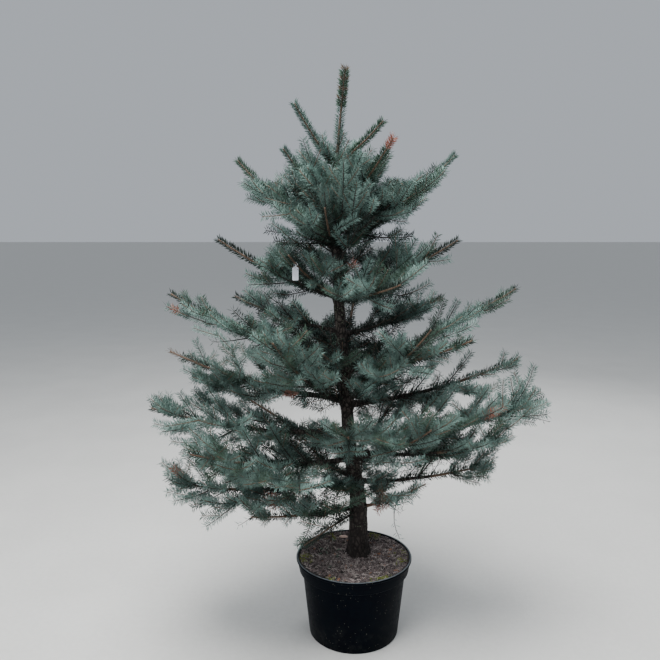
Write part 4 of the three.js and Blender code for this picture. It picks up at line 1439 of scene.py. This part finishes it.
def fibreArrays(places, draw):
    parts = []
    steps = litter["fibreSteps"]
    for x, y, _ in places:
        length = between(litter["fibreLength"], draw.random() ** 1.5)
        angle = draw.random() * 6.28
        bend = draw.normal(0, 0.5)
        path = []
        for i in range(steps):
            s = i / (steps - 1) - 0.5
            px = x + math.cos(angle + bend * s) * length * s
            py = y + math.sin(angle + bend * s) * length * s
            if math.hypot(px, py) > soilEdge - 4:
                px, py = x, y + s
            path.append((px, py, soilTop(px, py) + 1.0 + 2.4 * (0.25 - s * s) * draw.random() * 4))
        radius = between(litter["fibreRadius"], draw.random())
        parts.append(tubeArrays(np.array(path), np.full(steps, radius), 3))
    return parts


def mossArrays():
    # cushions of little pointed tufts
    draw = np.random.default_rng(litter["mossSeed"])
    parts = []
    for direction, away, radius in litter["moss"]:
        angle = math.radians(direction)
        middleX, middleY = away * math.cos(angle), away * math.sin(angle)
        for _ in range(litter["mossTufts"] // len(litter["moss"])):
            x, y = draw.normal(middleX, radius * 0.5), draw.normal(middleY, radius * 0.5)
            if math.hypot(x, y) > soilEdge - 4 or noise.noise(Vector((x, y, 9)) * 0.09) < -0.12:
                continue
            height = between(litter["mossHeight"], draw.random())
            wide = between(litter["mossWidth"], draw.random())
            lean = draw.normal(0, litter["mossLean"], 2)
            z = soilTop(x, y) - 1
            corners = [(x + wide * math.cos(k * 2.094), y + wide * math.sin(k * 2.094), z) for k in range(3)]
            parts.append((np.array([*corners, (x + lean[0], y + lean[1], z + height)]), spikeFaces))
    return parts


def buildPaleChip():
    bm = bmesh.new()
    bmesh.ops.create_icosphere(bm, subdivisions=3, radius=1)
    halfX, halfY, halfZ = litter["paleChipHalf"]
    for v in bm.verts:
        lump = 1 + 0.12 * noise.noise(v.co * 2.2)
        v.co = Vector((v.co.x * halfX, v.co.y * halfY, v.co.z * halfZ)) * lump
    bmesh.ops.rotate(bm, verts=bm.verts, matrix=Matrix.Rotation(0.12, 3, "Y") @ Matrix.Rotation(0.15, 3, "Z"))
    x, y = litter["paleChip"]
    bmesh.ops.translate(bm, verts=bm.verts, vec=(x, y, soilTop(x, y) + 3))
    piece(objectFromBmesh("paleChip", bm, materials["paleChip"], smoothAngle=60), "soil")


def buildLitter():
    for name, count, seed, lengths, flatness, material in litter["chips"]:
        parts = chipArrays(*scatterPlaces(count, seed), lengths, flatness)
        joinedPiece(name, parts, material, "soil")
    parts = fibreArrays(*scatterPlaces(litter["fibres"], litter["fibreSeed"]))
    joinedPiece("peatFibres", parts, "fibre", "soil")
    joinedPiece("mossTufts", mossArrays(), "moss", "soil")
    buildPaleChip()


buildSoil()
buildLitter()
print("stage: soil")


def buildTag():
    bm = bmesh.new()
    bmesh.ops.create_grid(bm, x_segments=6, y_segments=22, size=0.5)
    for v in bm.verts:
        # share is 0 at the foot and 1 at the loop
        share = v.co.y + 0.5
        neck = 1.0 if share < 0.74 else max(0.24, 1 - (share - 0.74) / 0.10)
        corner = 1.0 if share > 0.06 else 0.86 + share * 2.3
        x = v.co.x * tag["width"] * neck * corner
        y = 1.4 * math.sin(share * 4.4) + 0.8 * math.sin(v.co.x * 3)
        v.co = Vector((x, y, -tag["length"] * (1 - share) + 1))
    bmesh.ops.solidify(bm, geom=bm.faces, thickness=tag["thickness"])
    bmesh.ops.recalc_face_normals(bm, faces=bm.faces)
    if bm.calc_volume(signed=True) < 0:
        bmesh.ops.reverse_faces(bm, faces=bm.faces)
    bmesh.ops.rotate(bm, verts=bm.verts, matrix=Matrix.Rotation(math.radians(tag["turn"]), 3, "Z"))
    bmesh.ops.translate(bm, verts=bm.verts, vec=tagTop)
    piece(objectFromBmesh("plantTag", bm, materials["tag"], smoothAngle=40), "tag", "plant_tag")


def buildTagLoop():
    # the loop that ties the tag round the bough
    bm = bmesh.new()
    ring = bmesh.ops.create_circle(bm, segments=6, radius=0.8)["verts"]
    bmesh.ops.translate(bm, verts=ring, vec=(tag["loop"], 0, 0))
    bmesh.ops.rotate(bm, verts=ring, cent=(tag["loop"], 0, 0), matrix=Matrix.Rotation(math.pi / 2, 3, "X"))
    spinClosed(bm, list(bm.verts) + list(bm.edges), 28)
    heading = boughHeading(tagBough, tag["place"])
    bmesh.ops.rotate(bm, verts=bm.verts, matrix=heading.to_track_quat("Z", "Y").to_matrix())
    bmesh.ops.translate(bm, verts=bm.verts, vec=tagTop - up * (tag["loop"] - 4))
    piece(objectFromBmesh("tagLoop", bm, materials["tag"], smoothAngle=60), "tag")


buildTag()
buildTagLoop()
print("stage: tag")
